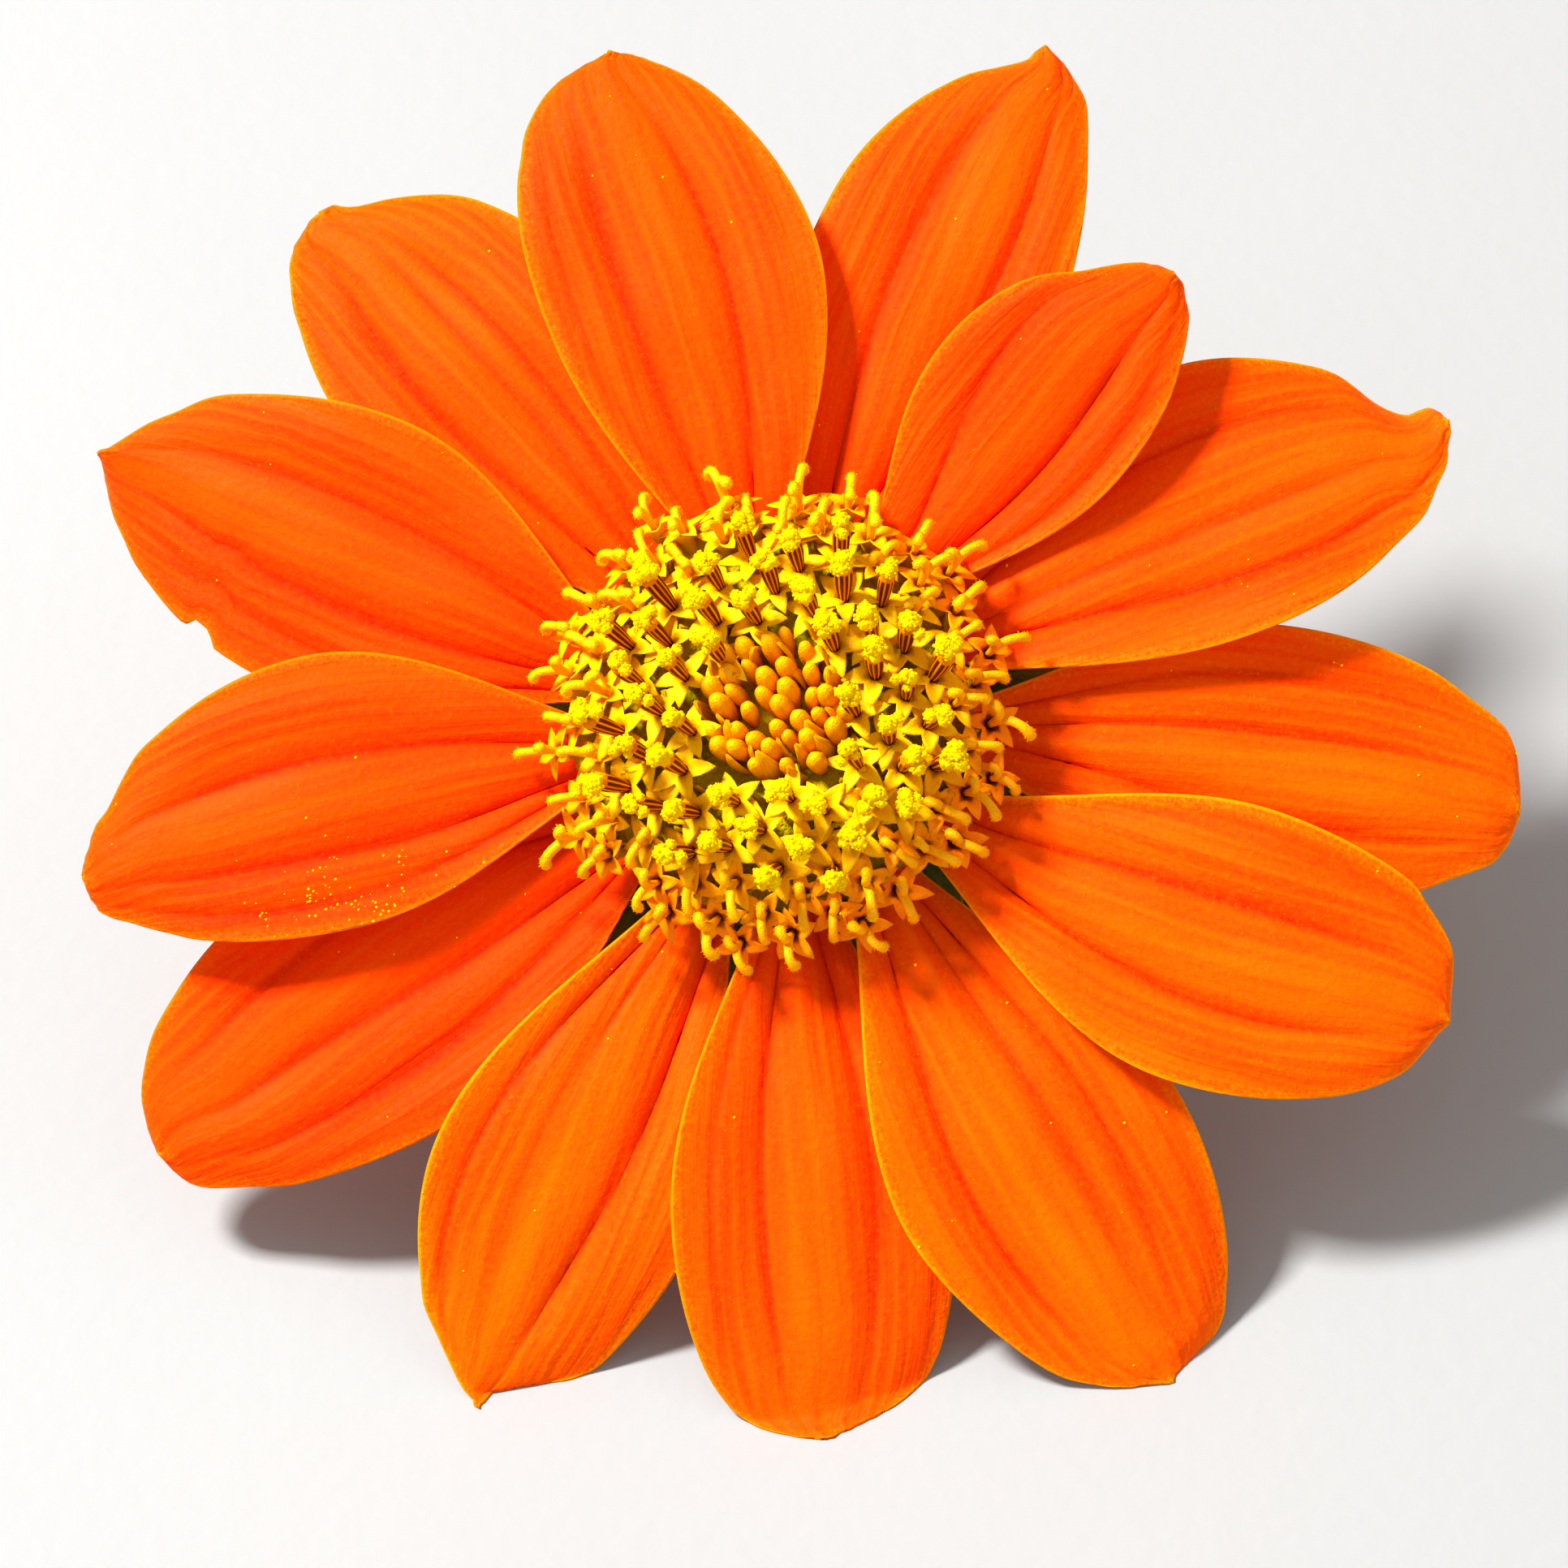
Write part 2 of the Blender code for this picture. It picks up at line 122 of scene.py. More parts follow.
def mark(mesh, values=None, label="downy"):
    """Keeps a value for each point of a mesh. By default it is hairy all over."""
    kept = mesh.attributes.get(label) or mesh.attributes.new(label, "FLOAT", "POINT")
    kept.data.foreach_set("value", values or [1.0] * len(mesh.vertices))


def point_outwards(mesh):
    """Turns a closed mesh's faces to point out of it, and shades it smooth."""
    made = bmesh.new()
    made.from_mesh(mesh)
    bmesh.ops.recalc_face_normals(made, faces=made.faces)
    if made.calc_volume(signed=True) < 0:
        bmesh.ops.reverse_faces(made, faces=made.faces)
    made.to_mesh(mesh)
    made.free()
    mesh.shade_smooth()
    return mesh


def show(name, mesh, finish=None):
    """Puts a mesh in the scene as a piece, with its finish."""
    piece = bpy.data.objects.new(name, mesh)
    bpy.context.scene.collection.objects.link(piece)
    if finish:
        mesh.materials.clear()
        mesh.materials.append(finish)
    return piece


def node(tree, kind, feeds=None, **settings):
    """The outputs of a new node, with its settings, and its inputs fed from sockets or plain values."""
    made = tree.nodes.new(kind)
    for label, value in settings.items():
        setattr(made, label, value)
    for key, value in (feeds or {}).items():
        if isinstance(value, bpy.types.NodeSocket):
            tree.links.new(value, made.inputs[key])
        else:
            made.inputs[key].default_value = value
    return made.outputs


def sums(tree, operation, *values):
    """The result of one arithmetic node."""
    return node(tree, "ShaderNodeMath", dict(enumerate(values)), operation=operation)[0]


def new_tree(name, kind, inputs, outputs):
    """A node group, with its inputs' and outputs' sockets. Their names are given for each socket type."""
    tree = bpy.data.node_groups.new(name, kind)
    for way, sockets in (("INPUT", inputs), ("OUTPUT", outputs)):
        for socket, labels in sockets.items():
            for label in labels:
                tree.interface.new_socket(label, in_out=way, socket_type="NodeSocket" + socket)
    return tree, tree.nodes.new("NodeGroupInput").outputs, tree.nodes.new("NodeGroupOutput").inputs


def mottle_group():
    """Soft blotches and fine grain in a surface, from Object coordinates, each about nought to one."""
    inputs = {"Float": ["Blotch Size", "Grain Size"]}
    tree, given, out = new_tree("mottle", "ShaderNodeTree", inputs, {"Float": ["Blotch", "Grain"]})
    place = node(tree, "ShaderNodeTexCoord")["Object"]
    for size, label, detail in (("Blotch Size", "Blotch", 3.0), ("Grain Size", "Grain", 2.0)):
        scale = sums(tree, "DIVIDE", 1.0, given[size])
        cloud = node(tree, "ShaderNodeTexNoise", {"Vector": place, "Scale": scale, "Detail": detail})
        spread = node(tree, "ShaderNodeMapRange", {0: cloud[0], 1: 0.3, 2: 0.7})
        tree.links.new(spread[0], out[label])
    return tree


def veins_group():
    """Fine parallel veins along a surface whose UV runs along it in U and across it in V."""
    inputs = {"Float": ["Count", "Waver"]}
    tree, given, out = new_tree("veins", "ShaderNodeTree", inputs, {"Float": ["Vein", "Streak"]})
    uv = node(tree, "ShaderNodeUVMap", uv_map="UVMap")[0]
    along_across = node(tree, "ShaderNodeSeparateXYZ", {0: uv})
    long_waves = node(tree, "ShaderNodeMapping", {"Vector": uv, "Scale": (1.1, 1.6, 1.0)})
    drift = node(tree, "ShaderNodeTexNoise", {"Vector": long_waves[0], "Scale": 1.6})
    shift = sums(tree, "MULTIPLY", sums(tree, "SUBTRACT", drift[0], 0.5), given["Waver"])
    across = sums(tree, "ADD", along_across[1], shift)
    turns = sums(tree, "MULTIPLY", given["Count"], 6.283)
    wave = sums(tree, "SINE", sums(tree, "MULTIPLY", across, turns))
    height = sums(tree, "MULTIPLY_ADD", wave, 0.5, 0.5)
    tree.links.new(sums(tree, "POWER", height, 2.5), out["Vein"])
    stretched = node(tree, "ShaderNodeCombineXYZ", {
        0: sums(tree, "MULTIPLY", along_across[0], 2.0),
        1: sums(tree, "MULTIPLY", across, given["Count"]),
    })
    feeds = {"Vector": stretched[0], "Scale": 0.9, "Detail": 4.0}
    streak = node(tree, "ShaderNodeTexNoise", feeds)
    spread = node(tree, "ShaderNodeMapRange", {0: streak[0], 1: 0.36, 2: 0.64})
    tree.links.new(spread[0], out["Streak"])
    return tree


mottle = mottle_group()
veins = veins_group()


class Finish:
    """A material being made: its shader's inputs, and the colour that has been laid on it so far."""

    def __init__(self, name, colour, roughness, sheen=0.0, specular=0.5):
        self.made = bpy.data.materials.new(name)
        self.made.use_nodes = True
        self.tree = self.made.node_tree
        self.shader = self.tree.nodes["Principled BSDF"].inputs
        self.shader["Roughness"].default_value = roughness
        self.shader["Specular IOR Level"].default_value = specular
        self.shader["Sheen Weight"].default_value = sheen
        self.colour = colour

    def uv(self):
        """How far along and across the surface a point is, by its UV."""
        uv = node(self.tree, "ShaderNodeUVMap", uv_map="UVMap")[0]
        return node(self.tree, "ShaderNodeSeparateXYZ", {0: uv})[:2]

    def mark(self, name):
        """A value kept for each point of the mesh."""
        return node(self.tree, "ShaderNodeAttribute", attribute_name=name)["Fac"]

    def spots(self, blotch, grain):
        """Blotches and grain of these sizes, in metres."""
        return placed_group(self.tree, mottle, Blotch_Size=blotch, Grain_Size=grain)

    def lines(self, count, waver):
        """A number of veins side by side, and how much they waver."""
        return placed_group(self.tree, veins, Count=count, Waver=waver)

    def sums(self, operation, *values):
        """The result of one arithmetic node."""
        return sums(self.tree, operation, *values)

    def wave(self, value, count):
        """A number of waves while a value goes from nought to one."""
        return self.sums("COSINE", self.sums("MULTIPLY", value, 2 * pi * count))

    def ramp(self, value, start, end, most=1.0, least=0.0):
        """Goes from least to most while a value goes from start to end, and stays level beyond."""
        feeds = {0: value, 1: start, 2: end, 3: least, 4: most}
        return node(self.tree, "ShaderNodeMapRange", feeds)[0]

    def lay(self, colour, amount, share=1.0):
        """Lays a colour over what is there, by a share of an amount."""
        if share < 1:
            amount = self.sums("MULTIPLY", amount, share)
        self.colour = blend_colours(self.tree, amount, self.colour, colour)

    def done(self, relief=None, depth=0.0):
        """The material, with its colour, and with a relief of a depth in metres."""
        self.tree.links.new(self.colour, self.shader["Base Color"])
        if relief is not None:
            feeds = {"Height": relief, "Distance": depth, "Strength": 1.0}
            relief = node(self.tree, "ShaderNodeBump", feeds)[0]
            self.tree.links.new(relief, self.shader["Normal"])
        return self.made


def blend_colours(tree, amount, first, second):
    """The colour between two colours, each a socket or plain red, green and blue."""
    colours = [c if isinstance(c, bpy.types.NodeSocket) else (*c, 1) for c in (first, second)]
    feeds = {0: amount, 6: colours[0], 7: colours[1]}
    return node(tree, "ShaderNodeMix", feeds, data_type="RGBA")[2]


def placed_group(tree, group, **values):
    """A shader node group placed in a material with its own values."""
    values = {label.replace("_", " "): value for label, value in values.items()}
    return node(tree, "ShaderNodeGroup", values, node_tree=group)


def spotted_finish(name, dark, light, roughness, specular, blotch, grain, depth):
    """A surface that is blotched from one colour to another, and grainy."""
    made = Finish(name, dark, roughness, specular=specular)
    spots = made.spots(blotch, grain)
    made.lay(light, spots["Blotch"])
    return made.done(spots["Grain"], depth)


def rough(*at):
    """Smooth noise at a place, from about minus one to one."""
    return noise.noise(Vector(at))


def stem_path():
    """Centres, headings and radii along the stem, from the head down to the table and along it."""
    lean = radians(HEAD_LEAN)
    steep = pi / 2 - lean
    start = Vector(HEAD_CENTRE) - Vector((0, -sin(lean), cos(lean))) * STEM_TOP
    turn = (start.z - STEM_REST) / (1 - cos(steep))
    found = []
    for i in range(STEM_BEND_STATIONS):
        part = i / (STEM_BEND_STATIONS - 1)
        fall = steep * (1 - part)
        y = start.y + turn * (sin(steep) - sin(fall))
        z = STEM_REST + turn * (1 - cos(fall))
        radius = STEM_TOP_RADIUS + (STEM_RADIUS - STEM_TOP_RADIUS) * ease(part)
        radius += STEM_SWELL * sin(pi * min(1, part / STEM_SWELL_SHARE))
        found.append((Vector((start.x, y, z)), Vector((0, cos(fall), -sin(fall))), radius))
    corner = found[-1][0]
    for i in range(1, STEM_RUN_STATIONS + 1):
        part = i / STEM_RUN_STATIONS
        point = corner + Vector((STEM_DRIFT * part * part, STEM_RUN * part, 0))
        heading = Vector((2 * STEM_DRIFT * part, STEM_RUN, 0)).normalized()
        found.append((point, heading, STEM_RADIUS))
    return found


def stem_loop(point, heading, radius, ribbed=1.0):
    """One loop round the stem, ribbed, and flat where it would sink into the table."""
    side = heading.cross(Vector((0, 0, 1))).normalized()
    up = side.cross(heading)
    loop = []
    for k in range(STEM_SIDES):
        angle = 2 * pi * k / STEM_SIDES
        out = side * sin(angle) + up * cos(angle)
        grown = radius - ribbed * STEM_RIB_DEPTH * (0.5 - 0.5 * cos(STEM_RIBS * angle))
        grown += ribbed * STEM_LUMP * rough(*(point + out * radius) * 0.45)
        at = point + out * grown
        loop.append(Vector((at.x, at.y, max(0, at.z))) * MM)
    return loop


def stem_mesh():
    """The stem's outer skin, its cut face and the hollow inside it."""
    path = stem_path()
    loops = [stem_loop(*station) for station in path]
    end, heading, radius = path[-1]
    for depth, share in STEM_CUT:
        loops.append(stem_loop(end - heading * depth, heading, radius * share, 0.0))
    return skin("stem_skin", loops, lambda i, k: (i / len(loops), k / STEM_SIDES))


def stem_finish():
    """Green skin streaked along its ribs, yellower under the head, and pale pith where it was cut."""
    made = Finish("stem_skin", (0.13, 0.21, 0.045), 0.55, sheen=0.15)
    spots = made.spots(0.004, 0.0004)
    lines = made.lines(16.0, 0.02)
    along = made.uv()[0]
    made.lay((0.24, 0.31, 0.085), spots["Blotch"])
    made.lay((0.3, 0.36, 0.12), lines["Streak"], 0.55)
    made.lay((0.34, 0.36, 0.08), made.ramp(along, 0.32, 0.0, 0.5))
    skin_loops = STEM_BEND_STATIONS + STEM_RUN_STATIONS
    cut_from = skin_loops / (skin_loops + len(STEM_CUT)) + 0.003
    made.lay((0.62, 0.66, 0.42), made.sums("GREATER_THAN", along, cut_from))
    return made.done(made.sums("MULTIPLY_ADD", spots["Grain"], 0.5, lines["Vein"]), 0.00006)


def ended(tree, instances, material, out):
    """Ends a Geometry Nodes tree: makes its instances real and gives them their material."""
    whole = node(tree, "GeometryNodeRealizeInstances", {0: instances})
    feeds = {"Geometry": whole[0], "Material": material}
    tree.links.new(node(tree, "GeometryNodeSetMaterial", feeds)[0], out)
    return tree


def hairs_tree():
    """Geometry Nodes: stands a hair on a surface wherever its density says, leaning at random."""
    inputs = {
        "Geometry": ["Surface"], "Object": ["Hair"], "String": ["Mark"], "Material": ["Finish"],
        "Float": ["Density", "Shortest", "Longest", "Lean"], "Int": ["Seed"],
    }
    tree, given, out = new_tree("hairs", "GeometryNodeTree", inputs, {"Geometry": ["Hairs"]})
    feeds = {"Name": given["Mark"]}
    density = node(tree, "GeometryNodeInputNamedAttribute", feeds, data_type="FLOAT")[0]
    density = sums(tree, "MULTIPLY", density, given["Density"])
    feeds = {"Mesh": given["Surface"], "Density": density, "Seed": given["Seed"]}
    spread = node(tree, "GeometryNodeDistributePointsOnFaces", feeds)
    lean_most = node(tree, "ShaderNodeCombineXYZ", {0: given["Lean"], 1: given["Lean"], 2: 3.14})
    lean_least = node(tree, "ShaderNodeVectorMath", {0: lean_most[0], 1: (-1, -1, -1)},
                      operation="MULTIPLY")
    feeds = {0: lean_least[0], 1: lean_most[0], 8: given["Seed"]}
    lean = node(tree, "FunctionNodeRandomValue", feeds, data_type="FLOAT_VECTOR")
    turned = node(tree, "FunctionNodeRotateRotation", {
        0: spread["Rotation"],
        1: node(tree, "FunctionNodeEulerToRotation", {0: lean[0]})[0],
    }, rotation_space="LOCAL")
    feeds = {2: given["Shortest"], 3: given["Longest"], 8: given["Seed"]}
    size = node(tree, "FunctionNodeRandomValue", feeds, data_type="FLOAT")
    hair = node(tree, "GeometryNodeObjectInfo", {"Object": given["Hair"]})
    stand = node(tree, "GeometryNodeInstanceOnPoints", {
        "Points": spread["Points"], "Instance": hair["Geometry"],
        "Rotation": turned[0], "Scale": size[1],
    })
    return ended(tree, stand[0], given["Finish"], out["Hairs"])


def grown(name, tree, mesh, values):
    """Runs a Geometry Nodes tree on a mesh, and returns its result as a plain mesh."""
    holder = bpy.data.objects.new(name, mesh)
    bpy.context.scene.collection.objects.link(holder)
    nodes = holder.modifiers.new(tree.name, "NODES")
    nodes.node_group = tree
    for socket in tree.interface.items_tree:
        if socket.in_out == "INPUT" and socket.name in values:
            nodes[socket.identifier] = values[socket.name]
    bpy.context.view_layer.update()
    graph = bpy.context.evaluated_depsgraph_get()
    result = bpy.data.meshes.new_from_object(
        holder.evaluated_get(graph), preserve_all_data_layers=True, depsgraph=graph
    )
    bpy.data.objects.remove(holder)
    result.name = name
    return result


def haired(name, mesh, hair, finish, per_mm2, lengths, lean, seed, label="downy", unit=MM):
    """Hairs or grains on a mesh: how many, their shortest and longest length, and how much they lean."""
    return grown(name, hairs, mesh.copy(), {
        "Hair": hair, "Finish": finish, "Mark": label, "Density": per_mm2 / unit ** 2,
        "Shortest": lengths[0] * unit, "Longest": lengths[1] * unit, "Lean": lean, "Seed": seed,
    })


def above_table(mesh):
    """Turns up what would reach into the table."""
    for vertex in mesh.vertices:
        vertex.co.z = max(0, vertex.co.z)
    return mesh


def ring(radius, z, sides):
    """Points of a level circle about the Z axis."""
    about = [2 * pi * k / sides for k in range(sides)]
    return [(radius * cos(a), radius * sin(a), z) for a in about]


def hair_template(name, width, bend, sides=3):
    """One hair of length one, three-sided, that narrows and bends to its point."""
    loops = []
    for share, rise in HAIR_PROFILE:
        lean = bend * rise * rise
        loops.append([(x + lean, y, z) for x, y, z in ring(share * width, rise, sides)])
    return bpy.data.objects.new(name, skin(name, loops))


def hair_finish():
    """Hairs are clear and pale, and catch the light."""
    made = Finish("plant_hair", (0.5, 0.55, 0.3), 0.35, sheen=0.3)
    made.lay((0.75, 0.78, 0.55), made.spots(0.002, 0.0003)["Blotch"])
    return made.done()


hairs = hairs_tree()
plant_hair = hair_finish()
stem_hair = hair_template("stem_hair", 0.05, 0.25)
stem = show("stem_skin", stem_mesh(), stem_finish())
mark(stem.data)
stem_down = haired("stem_hairs", stem.data, stem_hair, plant_hair, STEM_HAIRS_PER_MM2,
                   STEM_HAIR_LENGTHS, 0.5, seed=3)
stem_down = show("stem_hairs", above_table(stem_down))
for piece in (stem, stem_down):
    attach(piece, "root")
    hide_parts("stem")


# The involucre is the green cup under the head: the fleshy receptacle, and two whorls of leafy bracts
# grown from it. The bracts are ribbed and downy, and their tips show between the roots of the rays.
RECEPTACLE_PROFILE = (
    (3.9, -10.35), (4.1, -9.9), (4.9, -9.0), (5.9, -7.9), (7.0, -6.8), (7.7, -5.6), (8.2, -4.4),
    (8.4, -3.4), (8.4, -2.4), (8.1, -1.6), (7.7, -1.1), (7.7, 0.0), (7.6, 1.0), (7.2, 1.3),
)
RECEPTACLE_SIDES = 96
RECEPTACLE_RIBS = 16
RECEPTACLE_RIB_DEPTH = 0.16
RECEPTACLE_LUMP = 0.1
BRACTS_PER_WHORL = 8
BRACT_TURN = 10.5
BRACT_THICKNESS = 0.55
BRACT_THINNING = 0.6
BRACT_LEAST_HALF_WIDTH = 0.12
BRACT_HALF_WIDTHS = (1.3, 2.7, 3.3, 3.0, 0.3)
OUTER_BRACT_PATH = ((3.6, -7.9), (7.4, -7.7), (10.2, -5.4), (12.8, -3.4), (15.9, -2.3))
INNER_BRACT_PATH = ((5.0, -5.6), (8.9, -5.2), (10.8, -3.4), (13.0, -2.2), (15.6, -1.6))
BRACT_STATIONS = 26
BRACT_COLUMNS = 9
BRACT_CUP = 0.5
BRACT_WAVER = 0.07
BRACT_BEND = 0.35
BRACT_RIBS = 3
BRACT_RIB_HEIGHT = 0.13
BRACT_HAIRS_PER_MM2 = 2.2
BRACT_HAIR_LENGTHS = (0.2, 0.5)


def curve_at(path, u):
    """The point at u of the length of a smooth curve through a path's points."""
    last = len(path) - 1
    i = min(int(u * last), last - 1)
    t = u * last - i
    a, b, c, d = (path[min(last, max(0, i + n))] for n in (-1, 0, 1, 2))
    if not isinstance(a, tuple):
        a, b, c, d = (a,), (b,), (c,), (d,)
    found = []
    for p, q, r, s in zip(a, b, c, d):
        found.append(0.5 * (2 * q + (r - p) * t + (2 * p - 5 * q + 4 * r - s) * t * t
                            + (3 * q - p - 3 * r + s) * t * t * t))
    return found


def blade_mesh(name, sheet, thicknesses, place, marks=None, spans=None):
    """A thin closed blade round a sheet, which is a grid of points in rows from root to tip.

    thicknesses are given for each row and column, place brings a point to the table, and spans are how
    much of the UV's V each row covers.
    """
    rows = len(sheet)
    wide = len(sheet[0])
    loops = []
    for i in range(rows):
        over = []
        under = []
        for j in range(wide):
            along = sheet[min(i + 1, rows - 1)][j] - sheet[max(i - 1, 0)][j]
            across = sheet[i][min(j + 1, wide - 1)] - sheet[i][max(j - 1, 0)]
            normal = along.cross(across).normalized() * (thicknesses[i][j] / 2)
            over.append(place(sheet[i][j] + normal))
            under.append(place(sheet[i][j] - normal))
        loops.append(over + under[::-1])

    def uv(i, k):
        k = k % (2 * wide)
        column = k if k < wide else 2 * wide - 1 - k
        return i / (rows - 1), 0.5 + (column / (wide - 1) - 0.5) * (spans[i] if spans else 1)

    spread = {}
    for label, values in (marks or {}).items():
        spread[label] = [v for over, under in values for v in over + under[::-1]]
    return skin(name, loops, uv, spread)


def bract_sheet(path, angle, seed):
    """The sheet halfway through a bract: a cupped leaf with ribs, and a margin that wavers a little."""
    out = Vector((cos(radians(angle)), sin(radians(angle)), 0))
    side = Vector((-out.y, out.x, 0))
    sheet = []
    for i in range(BRACT_STATIONS):
        u = i / (BRACT_STATIONS - 1)
        radius, z = curve_at(path, u)
        half_width = max(BRACT_LEAST_HALF_WIDTH, curve_at(BRACT_HALF_WIDTHS, u)[0])
        row = []
        for j in range(BRACT_COLUMNS):
            v = 2 * j / (BRACT_COLUMNS - 1) - 1
            waver = 1 + BRACT_WAVER * rough(u * 5, v, seed)
            at = out * radius + side * (v * half_width * waver)
            cup = BRACT_CUP * (v * v * half_width / max(BRACT_HALF_WIDTHS) - 1)
            ribs = BRACT_RIB_HEIGHT * cos(2 * pi * BRACT_RIBS * v / 2) * (1 - u * u)
            bend = BRACT_BEND * rough(u * 2, v * 0.8, seed + 9)
            row.append(at + Vector((0, 0, z + cup - ribs + bend * u)))
        sheet.append(row)
    return sheet


def involucre_mesh():
    """The cup and its two whorls of bracts."""
    in_head = head_to_table()
    loops = []
    for radius, z in RECEPTACLE_PROFILE:
        loop = []
        for k, (x, y, _) in enumerate(ring(1, 0, RECEPTACLE_SIDES)):
            angle = 2 * pi * k / RECEPTACLE_SIDES
            rib = 0.5 - 0.5 * cos(RECEPTACLE_RIBS * angle)
            lump = RECEPTACLE_LUMP * rough(x * 3, y * 3, z)
            grown_radius = radius - RECEPTACLE_RIB_DEPTH * rib + lump
            loop.append(in_head @ Vector((x * grown_radius, y * grown_radius, z)))
        loops.append(loop)
    last = len(loops) - 1
    meshes = [skin("cup", loops, lambda i, k: (i / last, k / 12))]
    thick = [BRACT_THICKNESS * (1 - BRACT_THINNING * i / BRACT_STATIONS) for i in range(BRACT_STATIONS)]
    thick = [[at] * BRACT_COLUMNS for at in thick]
    for whorl, path in enumerate((OUTER_BRACT_PATH, INNER_BRACT_PATH)):
        for k in range(BRACTS_PER_WHORL):
            angle = BRACT_TURN + 360 * (k + whorl / 2) / BRACTS_PER_WHORL
            sheet = bract_sheet(path, angle, 3.7 * k + whorl)
            meshes.append(blade_mesh("bract", sheet, thick, lambda p: in_head @ p))
    return joined("involucre", meshes)


def plain(name, made):
    """What a bmesh holds, as a mesh."""
    mesh = bpy.data.meshes.new(name)
    made.to_mesh(mesh)
    made.free()
    return mesh


def joined(name, meshes):
    """One mesh made of several."""
    made = bmesh.new()
    for mesh in meshes:
        made.from_mesh(mesh)
    whole = plain(name, made)
    for label in [a.name for a in meshes[0].attributes if a.domain == "POINT" and a.data_type == "FLOAT"]:
        values = []
        for mesh in meshes:
            values += [item.value for item in mesh.attributes[label].data]
        mark(whole, values, label)
    for mesh in meshes:
        bpy.data.meshes.remove(mesh)
    whole.shade_smooth()
    return whole


def bract_finish():
    """Grey-green leaf, paler along its veins and yellower at its tips."""
    made = Finish("bract_leaf", (0.11, 0.25, 0.02), 0.6, sheen=0.25)
    spots = made.spots(0.003, 0.00035)
    lines = made.lines(7.0, 0.05)
    made.lay((0.21, 0.37, 0.035), spots["Blotch"])
    made.lay((0.24, 0.38, 0.06), lines["Vein"], 0.5)
    made.lay((0.3, 0.38, 0.03), made.ramp(made.uv()[0], 0.7, 1.0, 0.45))
    return made.done(made.sums("MULTIPLY_ADD", spots["Grain"], 0.6, lines["Vein"]), 0.00007)


involucre = show("involucre_leaves", involucre_mesh(), bract_finish())
mark(involucre.data)
involucre_down = haired("involucre_hairs", involucre.data, stem_hair, plant_hair,
                        BRACT_HAIRS_PER_MM2, BRACT_HAIR_LENGTHS, 0.7, seed=8)
involucre_down = show("involucre_hairs", above_table(involucre_down))
for piece in (involucre, involucre_down):
    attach(piece, "root")
    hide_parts("involucre")


# The thirteen rays are broad orange blades rooted on the rim of the receptacle. Each is one soft sheet,
# grooved and veined from root to tip, thin at its margin, and laps over its neighbours. Its thin yellow
# margin is painted light, and its redder creases, and in part its root, are painted shade.
RAY_ROOT_RADIUS = 8.0
RAY_CREST_RADIUS = 22.0
RAY_CREST_HEIGHT = 1.5
RAY_THICKNESS = 0.42
RAY_MARGIN_THICKNESS = 0.14
RAY_LAYER = 0.95
RAY_ARCH = 0.8
RAY_ROOT_SHARE = 0.17
RAY_TIP_REACH = 6.0
RAY_TIP_BLEND = 9.0
RAY_TIP_TEETH = 0.12
RAY_STATIONS = 96
RAY_COLUMNS = 51
RAY_UNDULATION = 0.35
GROOVE_WIDTH = 0.05
GROOVE_SHOULDER = 0.2
GROOVE_SHARP_SHARE = 0.7
GROOVE_WIDE_SHARE = 1.1
GROOVE_FADES_FROM = 0.7
RAY_ROOT_RUN = 0.12
RAY_LIFTS_FROM = 0.25
RAY_ARCHES_FROM = 0.6
RAY_RAISE = 0.12
TABLE_SOFTNESS = 0.12
FAR_OVER_TABLE = 40
OVER = 1
UNDER = -1


